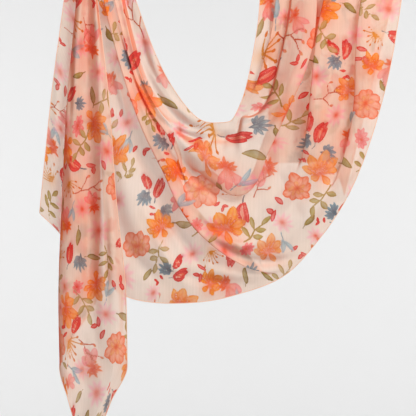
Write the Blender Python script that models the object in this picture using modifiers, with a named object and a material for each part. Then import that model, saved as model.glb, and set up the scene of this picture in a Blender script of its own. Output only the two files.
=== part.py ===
"""A long oblong chiffon scarf, hung over a rail in two places.

The scarf is one rectangle of cloth. Its first end hangs straight down in front
of the rail as a three-layered tail. Behind the tail the cloth comes over the
rail gathered to a hand's width, falls into one deep swag, climbs back to the
rail, spread wide, and its last end hangs down behind.

Frame: X runs along the rail, Y points away from the viewer, Z is up. The origin
is on the rail's axis, in the middle of the gathered hold. Tables are in
millimetres; the meshes are in metres.
"""

from collections import namedtuple

import bpy
import numpy as np

# Driving dimensions, in millimetres unless a name says otherwise.
CLOTH_WALL = 1.2
SEAM_GAP = 0.6
RAIL_TO_CLOTH = 14.0
METRES = 0.001

# The two strips of cloth that lie on the rail, from the upper hem to the lower.
LEFT_STRIP = (15.0, -22.0)
RIGHT_STRIP = (304.0, 562.0)
LEFT_GATHERS = 4
RIGHT_GATHERS = 6
GATHER_DEPTH = 2.4
GATHER_FADE = 110.0

# How finely each piece is divided.
STEPS_PER_FOLD = 3
SWAG_ROWS_PER_SECTION = 2.4
SADDLE_ROWS = 4
TAIL_ROWS = 19
BACK_ROWS = 9
BACK_PLEATS = 5
STEPS_PER_PLEAT = 5

CUT_SECTION = 9.5
SLACK_ROUNDS = 400
LEAST_SHARE = 0.002
LEAST_OPEN = 1.2
CREST_ROUNDNESS = 1.5
CREST_BULGE = 20.0
LAP_FROM = 0.45
LAP_SHARE = 0.09

# The swag: straight sections from the upper hem to the lower hem, left to right.
# The depths are the cloth's distance behind the rail's axis. The last seven
# columns say where each fold's visible edge crosses the section, as a share of it.
Section = namedtuple(
    "Section",
    "name upper_x upper_z lower_x lower_z depth_upper depth_middle depth_lower"
    " edge_pleat top_roll second_bowl left_fold recess long_fold side_fold",
)
SWAG = [
    Section("left rail", 30, 0, -18, 0, 14, 14, 14, 0.10, 0.24, 0.34, 0.46, 0.58, 0.70, 0.85),
    Section("left neck", 80, -140, -7, -140, 9, 6, 10, 0.08, 0.28, 0.36, 0.43, 0.54, 0.65, 0.85),
    Section("left slope", 119, -245, 12, -332, 4, 0, 9, 0.08, 0.285, 0.31, 0.37, 0.44, 0.52, 0.80),
    Section("left hip", 158, -313, 25, -534, 0, -4, 7, 0.05, 0.17, 0.19, 0.235, 0.32, 0.39, 0.74),
    Section("left foot", 192, -349, 49, -651, -4, -10, 5, 0.03, 0.13, 0.20, 0.25, 0.32, 0.38, 0.72),
    Section("low middle", 222, -355, 175, -670, -6, -16, 3, 0.03, 0.13, 0.32, 0.45, 0.54, 0.62, 0.82),
    Section("right foot", 243, -353, 262, -654, -6, -18, 0, 0.04, 0.16, 0.43, 0.52, 0.65, 0.82, 0.92),
    Section("meeting", 252, -345, 334, -626, -8, -18, -2, 0.04, 0.14, 0.43, 0.55, 0.70, 0.945, 0.98),
    Section("right hip", 261, -327, 385, -578, -8, -18, -4, 0.04, 0.10, 0.37, 0.50, 0.66, 0.84, 0.93),
    Section("right slope", 271, -299, 429, -520, -10, -18, -6, 0.06, 0.175, 0.35, 0.46, 0.60, 0.74, 0.88),
    Section("right side", 282, -252, 469, -444, -11, -16, -8, 0.08, 0.21, 0.37, 0.44, 0.52, 0.68, 0.855),
    Section("right waist", 290, -206, 505, -338, -12, -15, -10, 0.10, 0.21, 0.41, 0.43, 0.455, 0.64, 0.795),
    Section("right neck", 297, -140, 534, -206, -13, -14, -12, 0.11, 0.225, 0.415, 0.425, 0.44, 0.60, 0.715),
    Section("right rail", 301, 0, 563, 0, -14, -14, -14, 0.11, 0.23, 0.36, 0.45, 0.54, 0.65, 0.76),
]

# The folds in the order in which a section meets them. A fold that turns at its
# crest first laps over the cloth after it, and one that turns behind first laps
# over the cloth before it. spread is the share of a section that the fold takes
# up where it lies open. The last five columns count sections: the fold grows
# between the first two, dies away between the next two, and laps from the last.
Fold = namedtuple("Fold", "column first overhang depth spread grows full fades gone laps_from")
FOLDS = [
    Fold("edge_pleat", "turn", 5.0, 5.0, 0.008, 8.6, 10.0, 13.0, 14.0, -1.0),
    Fold("top_roll", "turn", 5.0, 6.0, 0.025, -1.0, 0.0, 13.0, 14.0, 7.5),
    Fold("second_bowl", "crest", 13.0, 9.0, 0.008, 3.6, 5.4, 13.0, 14.0, -1.0),
    Fold("left_fold", "crest", 8.0, 7.0, 0.008, -1.0, 0.0, 3.8, 5.0, -1.0),
    Fold("recess", "turn", 8.0, 8.0, 0.008, 8.2, 9.8, 13.0, 14.0, -1.0),
    Fold("long_fold", "crest", 19.0, 11.0, 0.008, -1.0, 0.0, 5.9, 7.5, -1.0),
    Fold("side_fold", "turn", 6.0, 6.0, 0.008, 8.6, 10.0, 13.0, 14.0, -1.0),
]
RAIL_FADE_SECTIONS = 0.9

# The tail: lines down the cloth, from its long hem on the right, round the three
# layers, to the other long hem on the left. x is given at the heights in
# TAIL_LEVELS, then where the line meets the short hem. depth is where the line
# hangs, in front of the rail's axis.
TAIL_LEVELS = (0, -50, -140, -315, -490, -665, -779, -840)
TailLine = namedtuple("TailLine", "name x_at_levels end_x end_z depth")
TAIL = [
    TailLine("long hem", (0, 5, 14, 34, 47, 64, 66, 38), -2, -957, -24),
    TailLine("front pleat", (-4, 0, 11, 20, 25, 31, 35, 19), -15, -911, -33),
    TailLine("trough", (-8, -5, 3, 5, 9, 12, 13, -5), -24, -880, -20),
    TailLine("left pleat", (-12, -10, -7, -12, -14, -14, -16), -37, -835, -31),
    TailLine("left turn", (-16, -17, -23, -39, -48, -54, -52), -52, -779, -22),
    TailLine("right turn", (-20, -16, 4, 16, 19, 15, 12), 14, -648, -12),
    TailLine("short hem bend", (-23, -25, -28, -41, -53, -62, -65), -58, -542, -7),
    TailLine("back hem", (-26, -33, -45, -68, -86, -100, -105), -88, -513, -6),
]
TAIL_NECK = 75.0

# The last end of the cloth, behind the rail. x is given at the rail, at the
# neck and at the short hem.
BackLine = namedtuple("BackLine", "name top_x neck_x end_x end_z")
BACK = [
    BackLine("left hem", 304, 316, 312, -426),
    BackLine("left quarter", 368, 369, 350, -424),
    BackLine("middle", 433, 424, 388, -423),
    BackLine("right quarter", 497, 478, 424, -426),
    BackLine("right hem", 562, 531, 446, -482),
]
BACK_NECK = -140.0
BACK_DEPTH = 16.0
BACK_PLEAT_DEPTH = 5.0

SHELL_COLOURS = {
    "tail": (0.84, 0.60, 0.50, 1.0),
    "swag_left": (0.86, 0.66, 0.56, 1.0),
    "swag_right": (0.85, 0.58, 0.47, 1.0),
    "back_end": (0.80, 0.52, 0.42, 1.0),
}
CLOTH_ROUGHNESS = 0.75


def smooth_step(value):
    """Rise from 0 to 1 over 0..1, flat at both ends: 3 t squared less 2 t cubed."""
    t = np.clip(value, 0.0, 1.0)
    return t * t * (3.0 - 2.0 * t)


def natural_spline(stations, values, at):
    """Cubic through the values, with no bend at either end, read at other stations."""
    stations = np.asarray(stations, float)
    values = np.asarray(values, float)
    gaps = np.diff(stations)
    count = len(stations)
    system = np.eye(count)
    rhs = np.zeros_like(values)
    slopes = np.diff(values, axis=0) / gaps.reshape((-1,) + (1,) * (values.ndim - 1))
    for i in range(1, count - 1):
        system[i, i - 1:i + 2] = gaps[i - 1], 2.0 * (gaps[i - 1] + gaps[i]), gaps[i]
        rhs[i] = 6.0 * (slopes[i] - slopes[i - 1])
    bends = np.linalg.solve(system, rhs)
    i = np.clip(np.searchsorted(stations, at, side="right") - 1, 0, count - 2)
    shape = (-1,) + (1,) * (values.ndim - 1)
    gap = gaps[i].reshape(shape)
    left = (stations[i + 1] - at).reshape(shape) / gap
    right = 1.0 - left
    return (
        left * values[i] + right * values[i + 1]
        + ((left ** 3 - left) * bends[i] + (right ** 3 - right) * bends[i + 1]) * gap ** 2 / 6.0
    )


def steady_slopes(knots, values):
    """Slopes for a cubic along each row that never overshoots its knots.

    knots is (rows, k) and values is (rows, k, d). The slope at a knot is the
    weighted harmonic mean of its two chords, or 0 where they differ in sign.
    """
    gaps = np.diff(knots, axis=1)[..., None]
    chords = np.diff(values, axis=1) / gaps
    before, after = chords[:, :-1], chords[:, 1:]
    weight_a = 2.0 * gaps[:, 1:] + gaps[:, :-1]
    weight_b = gaps[:, 1:] + 2.0 * gaps[:, :-1]
    same_way = before * after > 0.0
    safe_before = np.where(same_way, before, 1.0)
    safe_after = np.where(same_way, after, 1.0)
    mean = (weight_a + weight_b) / (weight_a / safe_before + weight_b / safe_after)
    return np.concatenate([chords[:, :1], np.where(same_way, mean, 0.0), chords[:, -1:]], axis=1)


def read_curve(knots, values, slopes, at):
    """The cubic with those values and slopes at its knots, read at (rows, m)."""
    i = np.clip((knots[:, None, :] <= at[:, :, None]).sum(axis=2) - 1, 0, knots.shape[1] - 2)
    row = np.arange(len(knots))[:, None]
    gap = knots[row, i + 1] - knots[row, i]
    t = ((at - knots[row, i]) / gap)[..., None]
    gap = gap[..., None]
    return (
        (2 * t ** 3 - 3 * t ** 2 + 1) * values[row, i]
        + (t ** 3 - 2 * t ** 2 + t) * gap * slopes[row, i]
        + (3 * t ** 2 - 2 * t ** 3) * values[row, i + 1]
        + (t ** 3 - t ** 2) * gap * slopes[row, i + 1]
    )


def gather(share, waves, weight):
    """Small even waves where the cloth is bunched on the rail, in millimetres."""
    return GATHER_DEPTH * weight * np.sin(2.0 * np.pi * waves * share)


def knot_steps(knots, steps):
    """Each row's knots with evenly spaced readings between each pair."""
    fractions = np.arange(steps) / steps
    between = knots[:, :-1, None] + np.diff(knots, axis=1)[..., None] * fractions
    return np.concatenate([between.reshape(len(knots), -1), knots[:, -1:]], axis=1)


def column(name):
    """One column of the swag's table, as an array."""
    return np.array([getattr(section, name) for section in SWAG], float)


def fold_strength(fold, number):
    """How much of a fold there is at a section number, from 0 to 1."""
    grown = smooth_step((number - fold.grows) / (fold.full - fold.grows))
    left = smooth_step((fold.gone - number) / (fold.gone - fold.fades))
    last = len(SWAG) - 1
    rail = smooth_step(number / RAIL_FADE_SECTIONS)
    rail = rail * smooth_step((last - number) / RAIL_FADE_SECTIONS)
    return grown * left * rail


def crest_lean(knots, depths):
    """How fast the cloth moves back or forward as it rounds each crest and turn.

    Between a fold's two knots the depth changes by its own chord, and leaving and
    arriving faster than that makes the fold a round loop. The bulge that this
    makes on the fold's outer sides is kept to a named size.
    """
    gaps = np.diff(knots, axis=1)
    chords = np.diff(depths, axis=1) / gaps
    inside = np.repeat(chords[:, 1::2], 2, axis=1)
    outside = np.repeat(gaps[:, 0::2], 2, axis=1)[:, 1:-1]
    most = CREST_BULGE / outside
    return np.clip(CREST_ROUNDNESS * inside, -most, most)


def swag_surface(numbers):
    """The swag's points at the given section numbers, (sections, columns, 3) in mm.

    Each section is a straight line from hem to hem, bent by its folds: at each
    fold the line runs forward to the crest and back by the overhang to a hidden
    turn, and the crest and the turn stand in front of and behind the plain cloth.
    """
    numbers = np.asarray(numbers, float)
    stations = np.arange(len(SWAG), dtype=float)
    fields = [name for name in Section._fields if name != "name"]
    table = np.stack([column(name) for name in fields], axis=1)
    at = dict(zip(fields, natural_spline(stations, table, numbers).T))
    upper = np.stack([at["upper_x"], at["upper_z"]], axis=1)
    lower = np.stack([at["lower_x"], at["lower_z"]], axis=1)
    length = np.linalg.norm(lower - upper, axis=1)

    shares, depths, firmness = [np.zeros_like(numbers)], [np.zeros_like(numbers)], [1.0]
    for fold in FOLDS:
        strength = fold_strength(fold, numbers)
        edge = at[fold.column]
        lapped = smooth_step((strength - LAP_FROM) / (1.0 - LAP_FROM))
        lapped = lapped * smooth_step(numbers - fold.laps_from)
        overhang = lapped * np.minimum(fold.overhang / length, LAP_SHARE)
        lap = 2.0 * (np.maximum(fold.spread, LEAST_OPEN / length) - overhang)
        crest = (edge, -fold.depth * strength)
        if fold.first == "crest":
            pair = [crest, (edge + lap, fold.depth * strength)]
        else:
            pair = [(edge - lap, fold.depth * strength), crest]
        for share, depth in pair:
            shares.append(share)
            depths.append(depth)
            firmness.append(strength)
    shares.append(np.ones_like(numbers))
    depths.append(np.zeros_like(numbers))
    firmness.append(1.0)
    shares = np.stack(shares, axis=1)
    depths = np.stack(depths, axis=1)
    firmness = np.stack([np.broadcast_to(f, numbers.shape) for f in firmness], axis=1)

    # Where a fold has died away, the cloth runs straight between its neighbours.
    own = depths.copy()
    apart = np.maximum(np.abs(np.diff(shares, axis=1)), LEAST_SHARE)
    before, after = apart[:, :-1], apart[:, 1:]
    for _ in range(SLACK_ROUNDS):
        spanned = (depths[:, :-2] * after + depths[:, 2:] * before) / (before + after)
        hold = firmness[:, 1:-1]
        depths[:, 1:-1] = hold * own[:, 1:-1] + (1.0 - hold) * spanned

    steps = np.stack([shares * length[:, None], depths], axis=2)
    chords = np.linalg.norm(np.diff(steps, axis=1), axis=2)
    knots = np.concatenate(
        [np.zeros((len(numbers), 1)), np.cumsum(np.maximum(chords, 0.5) ** 0.7, axis=1)], axis=1
    )
    values = np.stack([shares, depths], axis=2)
    slopes = steady_slopes(knots, values)
    slopes[:, 1:-1, 1] += firmness[:, 1:-1] * (crest_lean(knots, depths) - slopes[:, 1:-1, 1])
    curve = read_curve(knots, values, slopes, knot_steps(knots, STEPS_PER_FOLD))
    share, depth = curve[..., 0], curve[..., 1]

    belly = 4.0 * share * (1.0 - share)
    plain = at["depth_upper"][:, None] * (1.0 - share) + at["depth_lower"][:, None] * share
    sides = 0.5 * (at["depth_upper"] + at["depth_lower"])
    plain = plain + (at["depth_middle"] - sides)[:, None] * belly
    flat = upper[:, None] + share[..., None] * (lower - upper)[:, None]
    below_rail = -flat[..., 1]
    weight = 1.0 - smooth_step(below_rail / GATHER_FADE)
    right_half = (numbers > 0.5 * (len(SWAG) - 1))[:, None]
    waves = np.where(right_half, RIGHT_GATHERS, LEFT_GATHERS)
    side = np.where(right_half, -1.0, 1.0)
    y = plain + depth + side * gather(share, waves, weight)
    return np.stack([flat[..., 0], y, flat[..., 1]], axis=2)


def over_the_rail(edge_row, strip, waves, angles):
    """Rows that carry a piece from the rail's side, where it hangs, to the top.

    Each point moves round the rail's axis at its own distance from it, while its
    place along the rail slides to the strip of cloth that lies on top.
    """
    side = np.sign(edge_row[:, 1]).mean()
    share = (edge_row[:, 0] - edge_row[0, 0]) / (edge_row[-1, 0] - edge_row[0, 0])
    top_x = strip[0] + (strip[1] - strip[0]) * share
    top_radius = RAIL_TO_CLOTH + gather(share, waves, 1.0)
    rows = []
    for angle in angles:
        turn = smooth_step(angle / (0.5 * np.pi))
        radius = np.abs(edge_row[:, 1]) * (1.0 - turn) + top_radius * turn
        x = edge_row[:, 0] * (1.0 - turn) + top_x * turn
        rows.append(np.stack(
            [x, side * radius * np.cos(angle), radius * np.sin(angle)], axis=1
        ))
    return np.array(rows)


def tail_surface():
    """The tail's points from the rail down, (rows, columns, 3) in millimetres.

    Each line of the table is a smooth curve down to its own height on the short
    hem, and the cloth passes smoothly from line to line.
    """
    down = np.linspace(0.0, 1.0, TAIL_ROWS)
    xs, ys, zs = [], [], []
    for line in TAIL:
        levels = [(z, x) for z, x in zip(TAIL_LEVELS, line.x_at_levels) if z > line.end_z + 25]
        levels.append((line.end_z, line.end_x))
        heights = -np.array([z for z, _ in levels], float)
        places = np.array([x for _, x in levels], float)
        z = line.end_z * down
        places = places[None, :, None]
        slopes = steady_slopes(heights[None], places)
        x = read_curve(heights[None], places, slopes, -z[None])[0, :, 0]
        hung = smooth_step(-z / TAIL_NECK)
        xs.append(x)
        ys.append(-RAIL_TO_CLOTH * (1.0 - hung) + line.depth * hung)
        zs.append(z)
    points = np.stack([np.array(xs).T, np.array(ys).T, np.array(zs).T], axis=2)
    chords = np.linalg.norm(np.diff(points, axis=1), axis=2)
    knots = np.concatenate(
        [np.zeros((TAIL_ROWS, 1)), np.cumsum(chords ** 0.7, axis=1)], axis=1
    )
    slopes = steady_slopes(knots, points)
    surface = read_curve(knots, points, slopes, knot_steps(knots, STEPS_PER_FOLD + 1))
    top = surface[:, :, 0]
    share = (top - top[:, :1]) / (top[:, -1:] - top[:, :1])
    weight = 1.0 - smooth_step(-surface[:, :, 2] / GATHER_FADE)
    surface[:, :, 1] -= gather(share, LEFT_GATHERS, weight)
    return surface


def back_surface():
    """The last end's points from the rail down: even pleats that narrow as they fall."""
    lines = np.linspace(0.0, 1.0, BACK_PLEATS * STEPS_PER_PLEAT + 1)
    stations = np.linspace(0.0, 1.0, len(BACK))
    table = np.array([line[1:] for line in BACK], float)
    top_x, neck_x, end_x, end_z = natural_spline(stations, table, lines).T
    down = np.linspace(0.0, 1.0, BACK_ROWS)[:, None]
    z = end_z * down
    neck = np.minimum(z / BACK_NECK, 1.0)
    below = np.clip((z - BACK_NECK) / (end_z - BACK_NECK), 0.0, 1.0)
    x = top_x + (neck_x - top_x) * neck + (end_x - neck_x) * below
    weight = 1.0 - smooth_step(-z / GATHER_FADE)
    pleats = BACK_PLEAT_DEPTH * np.sin(2.0 * np.pi * BACK_PLEATS * lines)
    y = RAIL_TO_CLOTH + gather(lines, RIGHT_GATHERS, weight)
    y = y + (1.0 - weight) * (BACK_DEPTH - RAIL_TO_CLOTH + pleats)
    return np.stack([x, y, z], axis=2)


def trim_edge(surface, first):
    """Draw the first or last row back by half the gap that a seam keeps."""
    edge, inner = (0, 1) if first else (-1, -2)
    way = surface[inner] - surface[edge]
    way = way / np.linalg.norm(way, axis=1, keepdims=True)
    surface[edge] += way * 0.5 * SEAM_GAP
    return surface


def cloth_piece(name, surface, collection):
    """A sheet of cloth: a grid of points in mm made a mesh, with a wall put on it."""
    rows, columns = surface.shape[:2]
    index = np.arange(rows * columns).reshape(rows, columns)
    quads = np.stack(
        [index[:-1, :-1], index[1:, :-1], index[1:, 1:], index[:-1, 1:]], axis=2
    ).reshape(-1, 4)
    mesh = bpy.data.meshes.new(name)
    mesh.from_pydata((surface.reshape(-1, 3) * METRES).tolist(), [], quads.tolist())
    mesh.update()
    mesh.shade_smooth()
    piece = bpy.data.objects.new(name, mesh)
    collection.objects.link(piece)
    wall = piece.modifiers.new("Wall", "SOLIDIFY")
    wall.thickness = CLOTH_WALL * METRES
    wall.offset = 0.0
    wall.use_quality_normals = True
    piece.data.materials.append(cloth_material(name))
    return piece


def cloth_material(name):
    """Plain matt cloth in the colour of one stretch of the scarf."""
    material = bpy.data.materials.new(name + "_chiffon")
    material.use_nodes = True
    shader = material.node_tree.nodes["Principled BSDF"]
    shader.inputs["Base Color"].default_value = SHELL_COLOURS[name]
    shader.inputs["Roughness"].default_value = CLOTH_ROUGHNESS
    shader.inputs["Metallic"].default_value = 0.0
    return material


def build_scarf():
    """Make the four stretches of the scarf, in their own collection."""
    for old in list(bpy.data.objects):
        bpy.data.objects.remove(old)
    collection = bpy.data.collections.new("chiffon_scarf")
    bpy.context.scene.collection.children.link(collection)
    last = len(SWAG) - 1
    up = np.linspace(0.0, 0.5 * np.pi, SADDLE_ROWS + 1)[1:]

    tail = tail_surface()
    saddle = over_the_rail(tail[0], LEFT_STRIP, LEFT_GATHERS, up)
    tail = trim_edge(np.concatenate([saddle[::-1], tail]), first=True)
    cloth_piece("tail", tail, collection)

    left_rows = int(SWAG_ROWS_PER_SECTION * CUT_SECTION) + 1
    left = swag_surface(np.linspace(0.0, CUT_SECTION, left_rows))
    saddle = over_the_rail(left[0], LEFT_STRIP, LEFT_GATHERS, up)
    left = trim_edge(np.concatenate([saddle[::-1], left]), first=True)
    cloth_piece("swag_left", trim_edge(left, first=False), collection)

    right_rows = int(SWAG_ROWS_PER_SECTION * (last - CUT_SECTION)) + 2
    right = swag_surface(np.linspace(CUT_SECTION, last, right_rows))
    saddle = over_the_rail(right[-1], RIGHT_STRIP, RIGHT_GATHERS, up)
    right = trim_edge(np.concatenate([right, saddle]), first=True)
    cloth_piece("swag_right", trim_edge(right, first=False), collection)

    back = back_surface()
    saddle = over_the_rail(back[0], RIGHT_STRIP, RIGHT_GATHERS, up)
    back = trim_edge(np.concatenate([saddle[::-1], back]), first=True)
    cloth_piece("back_end", back, collection)


build_scarf()
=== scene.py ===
# %% [markdown]
# # A printed chiffon scarf, hung over a rail
# A scarf is one oblong of very thin cloth with a fine hem. What makes it look like chiffon is
# not the thread but three other things: light passes through every layer, the cloth falls in
# long soft folds, and its print is watercolour that blurs where it is wet. This file makes
# the four stretches that show, each as a surface worked out from a short table, then paints
# the print on the cloth's own flat coordinates, so that the flowers bend round the folds.

# %% Load the fixed frame
from collections import namedtuple

import bpy
import numpy as np
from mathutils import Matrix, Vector


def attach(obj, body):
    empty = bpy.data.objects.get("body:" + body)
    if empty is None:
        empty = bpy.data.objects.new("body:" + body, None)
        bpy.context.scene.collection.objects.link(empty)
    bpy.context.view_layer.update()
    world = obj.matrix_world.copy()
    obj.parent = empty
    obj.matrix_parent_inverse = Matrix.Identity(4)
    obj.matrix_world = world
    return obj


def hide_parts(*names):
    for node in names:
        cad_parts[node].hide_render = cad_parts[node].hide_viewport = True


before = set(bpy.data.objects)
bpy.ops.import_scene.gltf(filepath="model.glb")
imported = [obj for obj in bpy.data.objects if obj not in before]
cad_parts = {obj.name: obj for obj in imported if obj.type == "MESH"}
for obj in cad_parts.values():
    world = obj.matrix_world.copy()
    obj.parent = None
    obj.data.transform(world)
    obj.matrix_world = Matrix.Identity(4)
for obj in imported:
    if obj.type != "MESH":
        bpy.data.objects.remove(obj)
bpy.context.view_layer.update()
print("nodes in the frame:", sorted(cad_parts))

# %% [markdown]
# ## The sizes that drive everything
# Lengths are in millimetres, because cloth is measured so, and they become metres when a
# mesh is made. X runs along the rail, Y points away from the viewer and Z is up, with the
# origin on the rail's axis. The scarf leaves the rail in two strips: a narrow gathered one
# on the left, and a wide one on the right.

# %% Driving sizes
METRES = 0.001
RAIL_TO_CLOTH = 14.0
LEFT_STRIP = (15.0, -22.0)
RIGHT_STRIP = (304.0, 562.0)
LEFT_GATHERS, RIGHT_GATHERS = 4, 6
GATHER_DEPTH, GATHER_FADE = 2.4, 110.0
CUT_SECTION = 9.5
CUT_WIDTH, CUT_LENGTH = 500.0, 2300.0
print(f"the whole cut is {CUT_WIDTH:.0f} x {CUT_LENGTH:.0f} mm of chiffon")

# %% [markdown]
# ## Curves along the scarf
# Along the scarf everything changes slowly: a hem, or the place of a fold, runs from one
# section to the next without a corner. A natural cubic spline draws that, since it is the
# curve that a thin bent strip of wood would take through the same points.

# %% Curves along the scarf
def smooth_step(value):
    """Rise from 0 to 1 over 0..1, flat at both ends: 3 t squared less 2 t cubed."""
    t = np.clip(value, 0.0, 1.0)
    return t * t * (3.0 - 2.0 * t)


def natural_spline(stations, values, at):
    """Cubic through the values, with no bend at either end, read at other stations."""
    stations, values = np.asarray(stations, float), np.asarray(values, float)
    gaps = np.diff(stations)
    count = len(stations)
    system = np.eye(count)
    rhs = np.zeros_like(values)
    chords = np.diff(values, axis=0) / gaps[:, None]
    for i in range(1, count - 1):
        system[i, i - 1:i + 2] = gaps[i - 1], 2.0 * (gaps[i - 1] + gaps[i]), gaps[i]
        rhs[i] = 6.0 * (chords[i] - chords[i - 1])
    bends = np.linalg.solve(system, rhs)
    i = np.clip(np.searchsorted(stations, at, side="right") - 1, 0, count - 2)
    gap = gaps[i][:, None]
    left = (stations[i + 1] - at)[:, None] / gap
    right = 1.0 - left
    bend = (left ** 3 - left) * bends[i] + (right ** 3 - right) * bends[i + 1]
    return left * values[i] + right * values[i + 1] + bend * gap ** 2 / 6.0


print("smooth_step(0.25) =", smooth_step(0.25))

# %% [markdown]
# ## Curves across the folds
# A fold is drawn by a few knots, and the curve between them must not swing past them, or
# the cloth would cut through itself. The natural spline overshoots beside a sharp fold. So
# across the cloth the curve is a cubic whose slope at each knot is the harmonic mean of its
# two chords, and flat where the chords point opposite ways.

# %% Curves across the folds
def steady_slopes(knots, values):
    """Slope at each knot: the weighted harmonic mean of its chords, or 0 where they part."""
    gaps = np.diff(knots, axis=1)[..., None]
    chords = np.diff(values, axis=1) / gaps
    before, after = chords[:, :-1], chords[:, 1:]
    weight_a = 2.0 * gaps[:, 1:] + gaps[:, :-1]
    weight_b = gaps[:, 1:] + 2.0 * gaps[:, :-1]
    same_way = before * after > 0.0
    safe_before, safe_after = np.where(same_way, before, 1.0), np.where(same_way, after, 1.0)
    mean = (weight_a + weight_b) / (weight_a / safe_before + weight_b / safe_after)
    return np.concatenate([chords[:, :1], np.where(same_way, mean, 0.0), chords[:, -1:]], axis=1)


def read_curve(knots, values, slopes, at):
    """The cubic with those values and slopes at its knots, row by row."""
    i = np.clip((knots[:, None, :] <= at[:, :, None]).sum(axis=2) - 1, 0, knots.shape[1] - 2)
    row = np.arange(len(knots))[:, None]
    gap = knots[row, i + 1] - knots[row, i]
    t = ((at - knots[row, i]) / gap)[..., None]
    gap = gap[..., None]
    return (
        (2 * t ** 3 - 3 * t ** 2 + 1) * values[row, i]
        + (t ** 3 - 2 * t ** 2 + t) * gap * slopes[row, i]
        + (3 * t ** 2 - 2 * t ** 3) * values[row, i + 1]
        + (t ** 3 - t ** 2) * gap * slopes[row, i + 1]
    )


test_knots = np.array([[0.0, 1.0, 2.0]])
test_values = np.array([[[0.0], [1.0], [1.0]]])
test_slopes = steady_slopes(test_knots, test_values)
print("slopes of a rise that turns flat:", test_slopes.ravel())

# %% [markdown]
# ## Lengths and knots
# The curve's knots need not be evenly apart. Here they lie apart by the chord's length to a
# power below 1, which calms the curve where a short chord meets a long one. The same cell
# measures how much cloth lies along a row, which the print will need.

# %% Lengths and knots
KNOT_POWER = 0.7


def knot_steps(knots, steps):
    """Each row's knots with evenly spaced readings between each pair."""
    fractions = np.arange(steps) / steps
    between = knots[:, :-1, None] + np.diff(knots, axis=1)[..., None] * fractions
    return np.concatenate([between.reshape(len(knots), -1), knots[:, -1:]], axis=1)


def walked(points):
    """Length walked along each row of points, from 0 at its first one."""
    steps = np.linalg.norm(np.diff(points, axis=-2), axis=-1)
    start = np.zeros(steps.shape[:-1] + (1,))
    return np.concatenate([start, np.cumsum(steps, axis=-1)], axis=-1)


def knot_places(points, least_chord=0.0):
    """Each row's knots: running sums of its chords, each chord raised to KNOT_POWER."""
    chords = np.linalg.norm(np.diff(points, axis=1), axis=2)
    chords = np.maximum(chords, least_chord) ** KNOT_POWER
    return np.concatenate([np.zeros((len(points), 1)), np.cumsum(chords, axis=1)], axis=1)


print("a 3-4-5 step walks", walked(np.array([[0.0, 0.0], [3.0, 4.0]]))[-1], "mm")

# %% [markdown]
# ## The swag's table
# The swag is a deep curve of cloth between the two strips. Simulating it would give a
# natural shape, but not this one, with each fold where it hangs on the real scarf. So it is
# drawn as straight sections from the upper hem to the lower hem, fourteen of them from the
# left strip to the right strip. Each row also says where each fold crosses the section, as
# a share of its length.

# %% The sections
Section = namedtuple(
    "Section",
    "name upper_x upper_z lower_x lower_z depth_upper depth_middle depth_lower"
    " edge_pleat top_roll second_bowl left_fold recess long_fold side_fold",
)
SWAG = [
    Section("left rail", 30, 0, -18, 0, 14, 14, 14, 0.10, 0.24, 0.34, 0.46, 0.58, 0.70, 0.85),
    Section("left neck", 80, -140, -7, -140, 9, 6, 10, 0.08, 0.28, 0.36, 0.43, 0.54, 0.65, 0.85),
    Section("left slope", 119, -245, 12, -332, 4, 0, 9, 0.08, 0.285, 0.31, 0.37, 0.44, 0.52, 0.80),
    Section("left hip", 158, -313, 25, -534, 0, -4, 7, 0.05, 0.17, 0.19, 0.235, 0.32, 0.39, 0.74),
    Section("left foot", 192, -349, 49, -651, -4, -10, 5, 0.03, 0.13, 0.20, 0.25, 0.32, 0.38, 0.72),
    Section("low middle", 222, -355, 175, -670, -6, -16, 3, 0.03, 0.13, 0.32, 0.45, 0.54, 0.62, 0.82),
    Section("right foot", 243, -353, 262, -654, -6, -18, 0, 0.04, 0.16, 0.43, 0.52, 0.65, 0.82, 0.92),
    Section("meeting", 252, -345, 334, -626, -8, -18, -2, 0.04, 0.14, 0.43, 0.55, 0.70, 0.945, 0.98),
    Section("right hip", 261, -327, 385, -578, -8, -18, -4, 0.04, 0.10, 0.37, 0.50, 0.66, 0.84, 0.93),
    Section("right slope", 271, -299, 429, -520, -10, -18, -6, 0.06, 0.175, 0.35, 0.46, 0.60, 0.74, 0.88),
    Section("right side", 282, -252, 469, -444, -11, -16, -8, 0.08, 0.21, 0.37, 0.44, 0.52, 0.68, 0.855),
    Section("right waist", 290, -206, 505, -338, -12, -15, -10, 0.10, 0.21, 0.41, 0.43, 0.455, 0.64, 0.795),
    Section("right neck", 297, -140, 534, -206, -13, -14, -12, 0.11, 0.225, 0.415, 0.425, 0.44, 0.60, 0.715),
    Section("right rail", 301, 0, 563, 0, -14, -14, -14, 0.11, 0.23, 0.36, 0.45, 0.54, 0.65, 0.76),
]
Fold = namedtuple("Fold", "column first overhang depth spread grows full fades gone laps_from")
FOLDS = [
    Fold("edge_pleat", "turn", 5.0, 5.0, 0.008, 8.6, 10.0, 13.0, 14.0, -1.0),
    Fold("top_roll", "turn", 5.0, 6.0, 0.025, -1.0, 0.0, 13.0, 14.0, 7.5),
    Fold("second_bowl", "crest", 13.0, 9.0, 0.008, 3.6, 5.4, 13.0, 14.0, -1.0),
    Fold("left_fold", "crest", 8.0, 7.0, 0.008, -1.0, 0.0, 3.8, 5.0, -1.0),
    Fold("recess", "turn", 8.0, 8.0, 0.008, 8.2, 9.8, 13.0, 14.0, -1.0),
    Fold("long_fold", "crest", 19.0, 11.0, 0.008, -1.0, 0.0, 5.9, 7.5, -1.0),
    Fold("side_fold", "turn", 6.0, 6.0, 0.008, 8.6, 10.0, 13.0, 14.0, -1.0),
]
print(len(SWAG), "sections,", len(FOLDS), "folds")

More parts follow.
